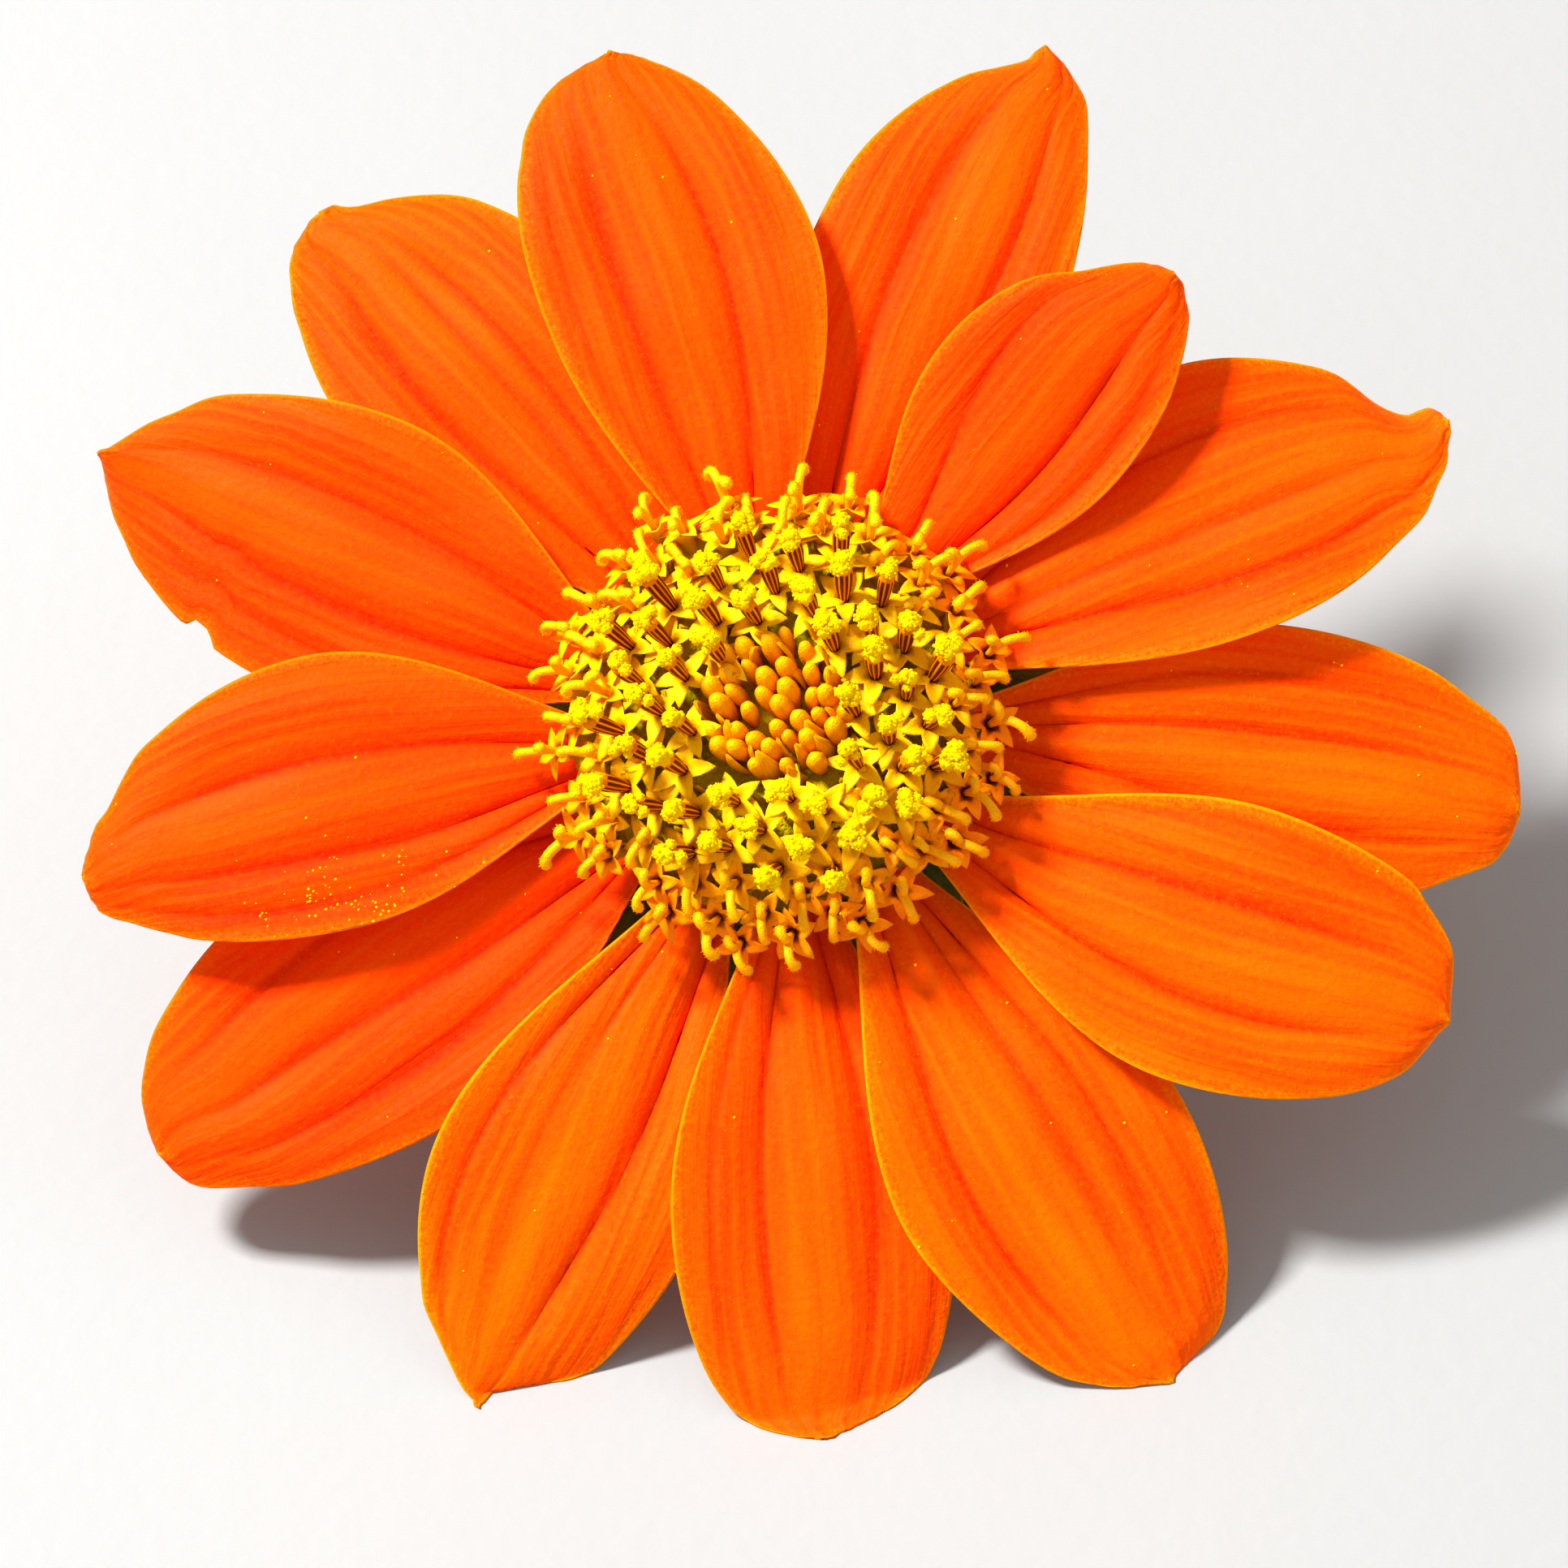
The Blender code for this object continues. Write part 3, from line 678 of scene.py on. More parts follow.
@dataclass
class Ray:
    """One ray: its outline in the head's plane, how it lies over its neighbours, and its grooves.

    Angles are counted from the head's X axis, anticlockwise. The first of each pair is the clockwise
    side. Widest is the share of the length where the ray is widest, swell is how late it widens, bow
    is how far its midline bends, and taper is how sharply each side runs in to the tip. The last 6 mm
    have a shape of their own: ends holds how far each margin is from the midline, from the tip back, at
    distances that grow as a square. A groove is its place across the ray at the root and at the tip,
    from -1 to 1, and its depth. Yellow is how much yellow is in its orange, with 1 for most rays; it is
    partly the ray's own shade of orange and partly painted light, which brightens some rays more than
    others. A bite is where along the anticlockwise margin something has eaten, how long that is, and how
    deep.
    """

    root: float
    tip: float
    reach: float
    half_widths: tuple
    widest: float
    swell: float
    bow: float
    taper: tuple
    lies: tuple
    lift: float
    ends: tuple
    grooves: tuple
    yellow: float
    bite: tuple = None

    def __post_init__(self):
        self.start = self.polar(RAY_ROOT_RADIUS, self.root)
        self.axis = self.polar(self.reach, self.tip) - self.start
        self.length = self.axis.length
        self.axis.normalize()
        self.side = Vector((-self.axis.y, self.axis.x))

    @staticmethod
    def polar(radius, angle):
        """A point of the head's plane."""
        turn = radians(angle)
        return Vector((radius * cos(turn), radius * sin(turn)))

    def body(self, u, edge):
        """How far a margin is from the midline at u of the length, if the ray had a plain tip."""
        if u < self.widest:
            grown_share = sin(pi / 2 * u / self.widest) ** self.swell
            return self.half_widths[edge] * (RAY_ROOT_SHARE + (1 - RAY_ROOT_SHARE) * grown_share)
        spent = (u - self.widest) / (1 - self.widest)
        return self.half_widths[edge] * max(0, 1 - spent * spent) ** self.taper[edge]

    def margin(self, u, edge):
        """How far a margin is from the midline: the clockwise one (0) or the other (1)."""
        from_tip = (1 - u) * self.length
        step = self.ends[edge][-1] - self.body(1 - RAY_TIP_REACH / self.length, edge)
        body = self.body(u, edge) + step * (1 - ease((from_tip - RAY_TIP_REACH) / RAY_TIP_BLEND))
        if from_tip < RAY_TIP_REACH:
            end = curve_at(self.ends[edge], sqrt(from_tip / RAY_TIP_REACH))[0]
            body = end + (body - end) * ease(from_tip / RAY_TIP_REACH * 2 - 1)
        if self.bite and edge == 1:
            at, long, deep = self.bite
            ragged = 1 + 0.4 * rough(u * 160, 0, 0)
            body -= deep * exp(-((u - at) / long) ** 4) * ragged
        return body

    def width(self, u):
        """The ray's whole width at u of the length."""
        return self.margin(u, 0) + self.margin(u, 1)

    def groove(self, u, v):
        """How deep the ray is folded in at a point, and how much painted shade its crease gets, most of
        it in a sharp line.
        """
        depth = 0
        crease_shade = 0
        for at_root, at_tip, deep in self.grooves:
            off = v - (at_root + (at_tip - at_root) * u)
            off += 0.03 * rough(u * 2.5, at_root * 9, self.lift)
            run = ease(u / RAY_ROOT_RUN) * (1 - 0.85 * ease((u - GROOVE_FADES_FROM) / 0.27))
            sharp = exp(-(off / GROOVE_WIDTH) ** 2)
            wide = exp(-(off / GROOVE_SHOULDER) ** 2)
            depth += deep * run * (GROOVE_SHARP_SHARE * sharp + GROOVE_WIDE_SHARE * wide)
            crease_shade = max(crease_shade, (0.7 * sharp + 0.3 * wide) * run * min(1, deep / 0.35))
        return depth, crease_shade

    def middle(self, u, v):
        """The sheet halfway through the ray, at u of its length and v of its half width."""
        clockwise, anticlockwise = self.margin(u, 0), self.margin(u, 1)
        ridge = (anticlockwise - clockwise) / 2 * (1 - ease((1 - u) * self.length / RAY_TIP_REACH))
        across = ridge + v * (anticlockwise - ridge if v > 0 else clockwise + ridge)
        across += self.bow * 4 * u * (1 - u)
        tooth = RAY_TIP_TEETH * rough(across * 2.6, self.lift * 5, 3)
        tooth *= ease((u - 0.95) / 0.05)
        place = self.start + self.axis * (u * self.length + tooth) + self.side * across
        off_crest = (place.length - RAY_CREST_RADIUS) / (RAY_CREST_RADIUS - RAY_ROOT_RADIUS)
        z = RAY_CREST_HEIGHT * (1 - off_crest * off_crest)
        layer = (sum(self.lies) + v * (self.lies[1] - self.lies[0])) / 2
        z += RAY_LAYER * layer * (0.5 + 0.5 * ease(u / RAY_ROOT_RUN))
        z += self.lift * ease((u - RAY_LIFTS_FROM) / 0.75)
        z -= RAY_ARCH * v * v * ease((u - RAY_ARCHES_FROM) / 0.35)
        rise = rough(place.x * 0.16, place.y * 0.16, self.lift * 7)
        z += RAY_UNDULATION * rise * sin(pi * u) + RAY_RAISE - self.groove(u, v)[0]
        return Vector((place.x, place.y, z))


def rays():
    """The thirteen rays, clockwise from the top one."""
    return [
        Ray(99, 105, 36.7, (7.3, 7.6), 0.56, 1.0, -1.2, (0.54, 0.52), (OVER, OVER), 0.6,
            ((0.9, 1.2, 1.9, 2.6, 3.5, 4.4, 5.2, 5.8), (-0.9, -0.4, 1.7, 3.1, 4.2, 5.2, 5.9, 6.7)),
            ((0.44, 0.44, 0.35), (-0.25, -0.3, 0.4), (0.8, 0.75, 0.15)), 0.9),
        Ray(72, 68, 38.95, (6.8, 7.0), 0.53, 1.1, 0.6, (0.7, 0.8), (UNDER, UNDER), 0.0,
            ((-0.4, -0.2, 0.8, 1.7, 2.8, 3.5, 4.2, 4.9), (0.4, 0.6, 0.8, 1.0, 2.0, 3.4, 4.4, 5.4)),
            ((0.31, 0.3, 0.3), (-0.32, -0.52, 0.4)), 0.95),
        Ray(49, 48.5, 31.05, (5.9, 5.9), 0.57, 1.3, 0.3, (0.54, 0.77), (OVER, OVER), 2.4,
            ((0.7, 1.4, 1.8, 2.7, 3.4, 4.1, 4.8, 5.4), (-0.7, 0.0, 0.7, 1.4, 2.1, 2.9, 4.0, 5.0)),
            ((0.1, 0.85, 0.3), (-0.5, -0.33, 0.5), (-0.85, -0.7, 0.2)), 0.8),
        Ray(25, 23.5, 38.5, (7.3, 7.7), 0.57, 1.1, 0.9, (0.78, 0.84), (OVER, UNDER), 0.3,
            ((-0.2, 0.4, 0.9, 2.1, 3.0, 4.2, 5.1, 5.8), (0.5, 1.0, 1.4, 1.4, 1.4, 2.4, 4.5, 5.7)),
            ((-0.42, -0.68, 0.45), (-0.1, -0.2, 0.25), (0.45, 0.5, 0.25)), 1.05),
        Ray(357, 354, 39.0, (6.9, 7.0), 0.58, 1.4, 0.4, (0.35, 0.43), (UNDER, UNDER), -0.6,
            ((0.8, 1.3, 2.5, 3.5, 4.1, 4.7, 5.4, 6.1), (-0.6, 0.4, 2.2, 3.4, 4.1, 4.7, 5.4, 6.1)),
            ((0.2, 0.2, 0.35), (-0.2, -0.65, 0.45), (0.6, 0.65, 0.25)), 1.25),
        Ray(328, 336.5, 38.4, (6.7, 8.3), 0.6, 1.5, -2.3, (0.39, 0.47), (OVER, OVER), 0.8,
            ((0.8, 1.0, 1.8, 3.4, 4.3, 5.0, 5.6, 6.0), (-0.8, -0.4, 0.9, 2.9, 4.1, 5.2, 6.4, 7.1)),
            ((0.4, 0.4, 0.35), (-0.22, -0.42, 0.45), (0.88, 0.85, 0.15)), 1.25),
        Ray(305, 300.5, 40.15, (8.0, 7.9), 0.61, 1.5, 0.0, (0.55, 0.53), (OVER, UNDER), -1.0,
            ((-0.2, 0.1, 0.9, 2.3, 3.4, 4.6, 5.5, 6.2), (0.2, 0.5, 1.7, 3.0, 4.2, 5.0, 5.9, 6.6)),
            ((0.5, 0.42, 0.3), (0.2, 0.15, 0.3), (-0.5, -0.55, 0.4)), 1.35),
        Ray(277, 274.5, 38.3, (7.6, 7.4), 0.6, 1.3, 0.2, (0.4, 0.43), (OVER, UNDER), -0.5,
            ((0.7, 1.4, 2.3, 3.5, 4.4, 5.4, 6.2, 6.8), (1.0, 1.7, 2.4, 3.1, 3.8, 4.5, 5.2, 6.0)),
            ((0.4, 0.36, 0.4), (-0.38, -0.4, 0.4), (-0.72, -0.75, 0.2)), 1.1),
        Ray(251, 247, 39.25, (7.5, 6.9), 0.62, 1.5, -0.3, (0.75, 0.66), (OVER, UNDER), -0.9,
            ((0.1, 0.5, 0.8, 1.7, 2.7, 3.9, 5.3, 6.0), (-0.1, 0.3, 0.4, 0.7, 2.0, 3.4, 4.2, 5.0)),
            ((0.55, 0.05, 0.5), (-0.65, -0.82, 0.4), (-0.35, -0.35, 0.2)), 1.35),
        Ray(217, 215.5, 39.5, (8.1, 7.7), 0.52, 1.15, -0.5, (0.37, 0.61), (UNDER, UNDER), -0.6,
            ((1.1, 1.7, 2.9, 4.1, 5.0, 5.9, 6.6, 7.1), (-0.9, 0.0, 1.2, 2.0, 2.7, 3.5, 4.5, 5.4)),
            ((0.55, 0.5, 0.35), (0.28, -0.1, 0.45), (-0.5, -0.55, 0.3)), 0.8),
        Ray(191, 191.5, 37.0, (7.6, 7.0), 0.53, 1.3, -0.6, (0.65, 0.51), (OVER, OVER), 1.2,
            ((-0.4, 0.2, 0.7, 1.8, 2.5, 3.8, 5.1, 5.8), (0.9, 1.7, 2.5, 3.1, 3.6, 4.3, 5.0, 5.8)),
            ((0.76, 0.76, 0.3), (0.45, 0.42, 0.45), (-0.28, -0.28, 0.35)), 0.8),
        Ray(164, 157, 38.95, (7.7, 7.6), 0.51, 1.4, 0.2, (0.59, 0.76), (OVER, UNDER), 0.0,
            ((-0.4, -0.2, 0.1, 1.0, 2.2, 3.3, 4.6, 5.6), (0.4, 0.6, 1.1, 1.9, 2.9, 3.8, 4.9, 5.7)),
            ((0.4, 0.25, 0.4), (-0.35, -0.38, 0.3), (0.7, 0.6, 0.25)), 0.8, bite=(0.705, 0.024, 0.75)),
        Ray(131, 131, 37.15, (7.7, 7.5), 0.58, 1.1, -0.7, (0.54, 0.58), (UNDER, UNDER), -0.5,
            ((0.0, 0.6, 0.9, 1.5, 2.9, 4.3, 5.5, 6.4), (0.6, 1.3, 2.4, 3.3, 4.0, 4.8, 5.5, 6.2)),
            ((0.45, 0.42, 0.4), (-0.02, -0.08, 0.25), (-0.3, -0.26, 0.3)), 1.0),
    ]


def ray_mesh(name, ray):
    """A ray's blade, laid so that a tip that reaches the table bends to lie flat on it."""
    in_head = head_to_table()
    lowest = RAY_MARGIN_THICKNESS / 2

    def laid(point):
        lying = in_head @ point
        over = (lying.z / MM - lowest) / TABLE_SOFTNESS
        if over < FAR_OVER_TABLE:
            lying.z = (lowest + TABLE_SOFTNESS * log1p(exp(over))) * MM
        return lying / MM

    def settle(point):
        return Vector((point.x, point.y, max(0, point.z))) * MM

    sheet = []
    thick = []
    spans = []
    marks = {"fold_shade": [], "edge": [], "upper": [], "yellow": []}
    places = [2 * j / (RAY_COLUMNS - 1) - 1 for j in range(RAY_COLUMNS)]
    places = [0.35 * sin(pi / 2 * v) + 0.65 * v for v in places]
    for i in range(RAY_STATIONS):
        u = 0.5 - 0.5 * cos(pi * i / (RAY_STATIONS - 1))
        u = 0.55 * u + 0.45 * i / (RAY_STATIONS - 1)
        to_edge = [min((1 - abs(v)) * ray.width(u) / 2, (1 - u) * ray.length) for v in places]
        more = [(RAY_THICKNESS - RAY_MARGIN_THICKNESS) * ease(away / 2) for away in to_edge]
        fold_shade = [ray.groove(u, v)[1] for v in places]
        sheet.append([laid(ray.middle(u, v)) for v in places])
        thick.append([RAY_MARGIN_THICKNESS + extra for extra in more])
        spans.append(min(1, ray.width(u) / sum(ray.half_widths)) ** 0.6)
        marks["fold_shade"].append((fold_shade, fold_shade))
        marks["edge"].append((to_edge, to_edge))
        marks["upper"].append(([1.0] * RAY_COLUMNS, [0.0] * RAY_COLUMNS))
        marks["yellow"].append(([ray.yellow] * RAY_COLUMNS, [ray.yellow] * RAY_COLUMNS))
    return blade_mesh(name, sheet, thick, settle, marks, spans)


def ray_finish():
    """Vivid orange tissue, with painted shade that reddens its folds and, in part, its root.
    Its thin yellow margin is painted light.
    """
    made = Finish("ray_tissue", (0.97, 0.072, 0.0), 0.6, specular=0.02)
    spots = made.spots(0.006, 0.0002)
    fine = made.spots(0.0012, 0.00035)
    lines = made.lines(17.0, 0.12)
    broad = made.lines(4.0, 0.35)
    along = made.uv()[0]
    edge = made.mark("edge")
    made.lay((1.0, 0.092, 0.0), made.ramp(along, 0.35, 1.0))
    made.lay((1.0, 0.104, 0.0), spots["Blotch"], 0.5)
    made.lay((0.95, 0.03, 0.0), broad["Streak"], 0.8)
    made.lay((0.94, 0.03, 0.0), lines["Streak"], 0.65)
    made.lay((1.0, 0.16, 0.0), made.sums("MULTIPLY", lines["Vein"], lines["Streak"]), 0.3)
    # Painted shade: the creases of the folds are darkened to deep red.
    made.lay((0.64, 0.006, 0.0), made.mark("fold_shade"), 0.9)
    made.lay((1.0, 0.15, 0.0), fine["Grain"], 0.14)
    # Partly painted shade: darker red towards the root, where the disc's shade falls, besides the ray's
    # own deeper orange there.
    made.lay((0.8, 0.024, 0.0), made.ramp(along, 0.34, 0.12, 0.3))
    made.lay((1.0, 0.19, 0.0), made.ramp(spots["Grain"], 0.8, 1.0, 0.2))
    # Painted highlight: fine yellow speckles near the margin, as light caught by the tissue's tiny bumps.
    made.lay((1.0, 0.23, 0.0), made.sums("MULTIPLY", made.ramp(edge, 0.9, 0.1, 0.5), spots["Grain"]))
    # Painted light: the thin yellow margin stands in for light shining through the thin edge.
    made.lay((1.0, 0.25, 0.0), made.ramp(edge, 0.2, 0.0, 0.8))
    streaks = made.sums("MULTIPLY", lines["Streak"], 0.6)
    back = blend_colours(made.tree, streaks, (0.9, 0.13, 0.0), (0.82, 0.07, 0.0))
    made.colour = blend_colours(made.tree, made.mark("upper"), back, made.colour)
    # Partly painted light: each ray's yellow factor, besides its own tone, brightens some rays as if lit
    # more.
    yellow = node(made.tree, "ShaderNodeCombineXYZ", {0: 1.0, 1: made.mark("yellow"), 2: 1.0})[0]
    feeds = {0: made.colour, 1: yellow}
    made.colour = node(made.tree, "ShaderNodeVectorMath", feeds, operation="MULTIPLY")[0]
    roughness = made.ramp(lines["Streak"], 0.0, 1.0, 0.65, least=0.5)
    made.tree.links.new(roughness, made.shader["Roughness"])
    relief = made.sums("MULTIPLY_ADD", broad["Streak"], 2.5, lines["Streak"])
    return made.done(made.sums("MULTIPLY_ADD", fine["Grain"], 0.4, relief), 0.00006)


ray_tissue = ray_finish()
ray_pieces = []
for number, ray in enumerate(rays(), 1):
    piece = show(f"ray_{number:02d}", ray_mesh(f"ray_{number:02d}", ray), ray_tissue)
    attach(piece, "root")
    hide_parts(f"petal_{number:02d}")
    ray_pieces.append(piece)


# The chaff is the bed of the disc: pointed olive scales (paleae), one beside each floret, folded round
# its tube. They stand on the domed top of the receptacle, and show green in the gaps between florets.
GOLDEN_ANGLE = radians(137.508)
OPEN_FLORETS = 106
POLLEN_FLORETS = 48
STYLE_FLORETS = OPEN_FLORETS - POLLEN_FLORETS
FLORET_INNER_RADIUS = 3.8
FLORET_OUTER_RADIUS = 12.0
FLORET_SPREAD = 0.9
DISC_MIDDLE = (0.3, -0.3, 0.0)
BUDS_DRIFT = (0.45, -0.05, 0.0)
MOUTH_RADII = (5.2, 11.2)
MOUTH_TOP = 6.3
MOUTH_RIM = 4.0
MOUTH_FALL = 1.6
FLORET_TILTS = (6.0, 42.0)
FLORET_UNRULE = 0.1
FLORET_SIZES = (0.92, 1.08)
LIGHTWARD_LEAN = 14.0
LIGHTWARD_AXIS = (-0.8, -0.6, 0.0)
BED_DEPTH = 1.1
BED_STEPS = 12
BED_SIDES = 60
BED_FOOT = [(7.6, 1.0), (8.6, 1.5)]
BED_TOP = [(3.9, 4.5), (3.0, 4.75), (1.5, 4.85), (0.3, 4.9)]
CHAFF_SCALES = OPEN_FLORETS - 14
CHAFF_LENGTH = 2.6
CHAFF_HALF_WIDTH = 0.65
CHAFF_THICKNESS = 0.12
CHAFF_ROWS = 6
CHAFF_COLUMNS = (-1, -0.5, 0, 0.5, 1)


def mouth(radius):
    """Height of the floret mouths, and the lean of the florets, at a distance from the axis."""
    out = (radius - MOUTH_RADII[0]) / (MOUTH_RADII[1] - MOUTH_RADII[0])
    height = MOUTH_TOP - (MOUTH_TOP - MOUTH_RIM) * max(0, out) ** MOUTH_FALL
    return height, radians(FLORET_TILTS[0] + (FLORET_TILTS[1] - FLORET_TILTS[0]) * out)


def spiral_tree():
    """Geometry Nodes: stands florets in the head's spiral, each a golden angle on from the last.

    A floret picks one of the kinds by its number. Its radius grows with its number, and its height and
    lean come from the dome. Share, from the inmost floret to the outmost, is kept as an attribute.
    """
    inputs = {
        "Geometry": ["Base"], "Collection": ["Kinds"], "Material": ["Finish"],
        "Int": ["First", "Count", "Out Of", "Seed"], "Vector": ["Drift", "Lean Axis"],
        "Float": ["Inner", "Outer", "Spread", "Shift", "Top", "Rim", "Fall", "Least Tilt", "Most Tilt",
                  "Sink", "Spin", "Unrule", "Smallest", "Largest", "Lean"],
    }
    tree, given, out = new_tree("head_spiral", "GeometryNodeTree", inputs, {"Geometry": ["Florets"]})

    def jitter(least, most, seed):
        feeds = {2: least, 3: most, 8: sums(tree, "ADD", given["Seed"], seed)}
        return node(tree, "FunctionNodeRandomValue", feeds, data_type="FLOAT")[1]

    def turned(rotation, axis, angle, space):
        more = node(tree, "FunctionNodeAxisAngleToRotation", {0: axis, 1: angle})[0]
        both = {0: rotation, 1: more}
        return node(tree, "FunctionNodeRotateRotation", both, rotation_space=space)[0]

    def kept(instances, label, value):
        feeds = {"Geometry": instances, "Name": label, "Value": value}
        return node(tree, "GeometryNodeStoreNamedAttribute", feeds, data_type="FLOAT",
                    domain="INSTANCE")[0]

    points = node(tree, "GeometryNodePoints", {"Count": given["Count"]})[0]
    place = sums(tree, "ADD", node(tree, "GeometryNodeInputIndex")[0], given["First"])
    turn_place = sums(tree, "ADD", place, given["Shift"])
    share = sums(tree, "DIVIDE", sums(tree, "ADD", turn_place, 0.5), given["Out Of"])
    inner2 = sums(tree, "MULTIPLY", given["Inner"], given["Inner"])
    outer2 = sums(tree, "MULTIPLY", given["Outer"], given["Outer"])
    gained = sums(tree, "SUBTRACT", outer2, inner2)
    gained = sums(tree, "MULTIPLY", gained, sums(tree, "POWER", share, given["Spread"]))
    radius = sums(tree, "SQRT", sums(tree, "ADD", inner2, gained))
    against = sums(tree, "MULTIPLY", given["Unrule"], -1.0)
    radius = sums(tree, "ADD", radius, jitter(against, given["Unrule"], 1))
    feeds = {0: radius, 1: MOUTH_RADII[0], 2: MOUTH_RADII[1]}
    out_share = node(tree, "ShaderNodeMapRange", feeds, clamp=False)[0]
    fall = sums(tree, "POWER", sums(tree, "MAXIMUM", out_share, 0.0), given["Fall"])
    fall = sums(tree, "MULTIPLY", sums(tree, "SUBTRACT", given["Top"], given["Rim"]), fall)
    height = sums(tree, "SUBTRACT", given["Top"], fall)
    feeds = {0: out_share, 3: given["Least Tilt"], 4: given["Most Tilt"]}
    tilt = node(tree, "ShaderNodeMapRange", feeds, clamp=False)[0]
    back = sums(tree, "MULTIPLY", given["Sink"], sums(tree, "SINE", tilt))
    down = sums(tree, "MULTIPLY", given["Sink"], sums(tree, "COSINE", tilt))
    tilt = sums(tree, "ADD", tilt, jitter(against, given["Unrule"], 2))
    aside = sums(tree, "MULTIPLY", jitter(against, given["Unrule"], 3), 0.35)
    angle = sums(tree, "MULTIPLY_ADD", turn_place, GOLDEN_ANGLE, aside)
    at_radius = sums(tree, "SUBTRACT", radius, back)
    position = node(tree, "ShaderNodeCombineXYZ", {
        0: sums(tree, "MULTIPLY", at_radius, sums(tree, "COSINE", angle)),
        1: sums(tree, "MULTIPLY", at_radius, sums(tree, "SINE", angle)),
        2: sums(tree, "SUBTRACT", height, down),
    })
    inward = node(tree, "ShaderNodeMapRange", {0: out_share, 1: 1.0, 2: 0.0})[0]
    feeds = {0: given["Drift"], "Scale": inward}
    drift = node(tree, "ShaderNodeVectorMath", feeds, operation="SCALE")[0]
    drifted = node(tree, "ShaderNodeVectorMath", {0: position[0], 1: drift})[0]
    feeds = {"Geometry": points, "Position": drifted}
    placed = node(tree, "GeometryNodeSetPosition", feeds)[0]
    stance = node(tree, "ShaderNodeCombineXYZ", {0: 0.0, 1: tilt, 2: angle})[0]
    stance = node(tree, "FunctionNodeEulerToRotation", {0: stance})[0]
    spin = jitter(sums(tree, "MULTIPLY", given["Spin"], -1.0), given["Spin"], 4)
    stance = turned(stance, (0, 0, 1), spin, "LOCAL")
    stance = turned(stance, given["Lean Axis"], given["Lean"], "GLOBAL")
    kinds = node(tree, "GeometryNodeCollectionInfo", {0: given["Kinds"], 1: True, 2: True})
    stand = node(tree, "GeometryNodeInstanceOnPoints", {
        "Points": placed, "Instance": kinds[0], "Pick Instance": True, "Instance Index": place,
        "Rotation": stance, "Scale": jitter(given["Smallest"], given["Largest"], 5),
    })
    shared = kept(stand[0], "share", share)
    return ended(tree, kept(shared, "tone", jitter(0.0, 1.0, 6)), given["Finish"], out["Florets"])


def kinds_of(name, meshes):
    """A collection of the forms that a repeated thing takes."""
    kinds = bpy.data.collections.new(name)
    for number, mesh in enumerate(meshes):
        kinds.objects.link(bpy.data.objects.new(f"{name}_{number}", mesh))
    return kinds


def in_spiral(name, kinds, finish, first, count, **values):
    """A piece that fills part of the head's spiral with one kind of thing."""
    settings = {
        "Kinds": kinds_of(name + "_kinds", kinds), "First": first, "Count": count, "Out Of": OPEN_FLORETS,
        "Seed": 1, "Inner": FLORET_INNER_RADIUS, "Outer": FLORET_OUTER_RADIUS, "Spread": FLORET_SPREAD,
        "Shift": 0.0, "Top": MOUTH_TOP, "Rim": MOUTH_RIM, "Fall": MOUTH_FALL,
        "Least Tilt": radians(FLORET_TILTS[0]), "Most Tilt": radians(FLORET_TILTS[1]),
        "Sink": 0.0, "Spin": pi, "Unrule": FLORET_UNRULE,
        "Smallest": FLORET_SIZES[0], "Largest": FLORET_SIZES[1],
        "Lean": radians(LIGHTWARD_LEAN), "Lean Axis": LIGHTWARD_AXIS, "Drift": BUDS_DRIFT,
        "Finish": finish,
    }
    settings.update({label.replace("_", " "): value for label, value in values.items()})
    mesh = grown(name, spiral, bpy.data.meshes.new(name), settings)
    mesh.transform(head_to_table() @ Matrix.Translation(DISC_MIDDLE))
    mesh.shade_smooth()
    return show(name, mesh)


def lathe(name, profile, sides, place=None, flutes=0, flute_depth=0.0):
    """A skin turned about the Z axis, closed at both ends of its profile, and fluted if asked."""
    loops = []
    for radius, z in profile:
        loop = []
        for x, y, _ in ring(1, 0, sides):
            grown_radius = radius * (1 + flute_depth * cos(flutes * atan2(y, x)))
            point = Vector((x * grown_radius, y * grown_radius, z))
            loop.append(place @ point if place else point)
        loops.append(loop)
    return skin(name, loops)


def bed_mesh():
    """The domed top of the receptacle under the florets, which dips where the buds stand."""
    slope = []
    for i in range(BED_STEPS, -1, -1):
        radius = MOUTH_RADII[0] + (MOUTH_RADII[1] - MOUTH_RADII[0]) * i / BED_STEPS
        height, tilt = mouth(radius)
        slope.append((radius - BED_DEPTH * sin(tilt), height - BED_DEPTH * cos(tilt)))
    return lathe("chaff_bed", BED_FOOT + slope + BED_TOP, BED_SIDES, head_to_table())


def chaff_template(name, curl):
    """One scale: a pointed leaf folded along its middle, that curls in at the tip."""
    sheet = []
    for i in range(CHAFF_ROWS):
        u = i / (CHAFF_ROWS - 1)
        half_width = CHAFF_HALF_WIDTH * (1 - u ** 2.2) + 0.03
        x = 0.35 + 0.12 * sin(3 * u) - curl * u * u
        row = []
        for v in CHAFF_COLUMNS:
            row.append(Vector((x - 0.3 * v * v * (1 - 0.5 * u), v * half_width, u * CHAFF_LENGTH)))
        sheet.append(row)
    thick = [[CHAFF_THICKNESS] * len(CHAFF_COLUMNS)] * CHAFF_ROWS
    return blade_mesh(name, sheet, thick, lambda p: p)


def chaff_finish():
    """Olive green scales, yellower and paler towards the tip."""
    made = Finish("chaff_scale", (0.32, 0.25, 0.0), 0.45, specular=0.05)
    vein = made.lines(6.0, 0.02)["Vein"]
    made.lay((0.8, 0.48, 0.0), made.uv()[0])
    made.lay((0.45, 0.36, 0.0), made.mark("tone"), 0.5)
    made.lay((0.6, 0.44, 0.0), vein, 0.25)
    return made.done(vein, 0.00004)


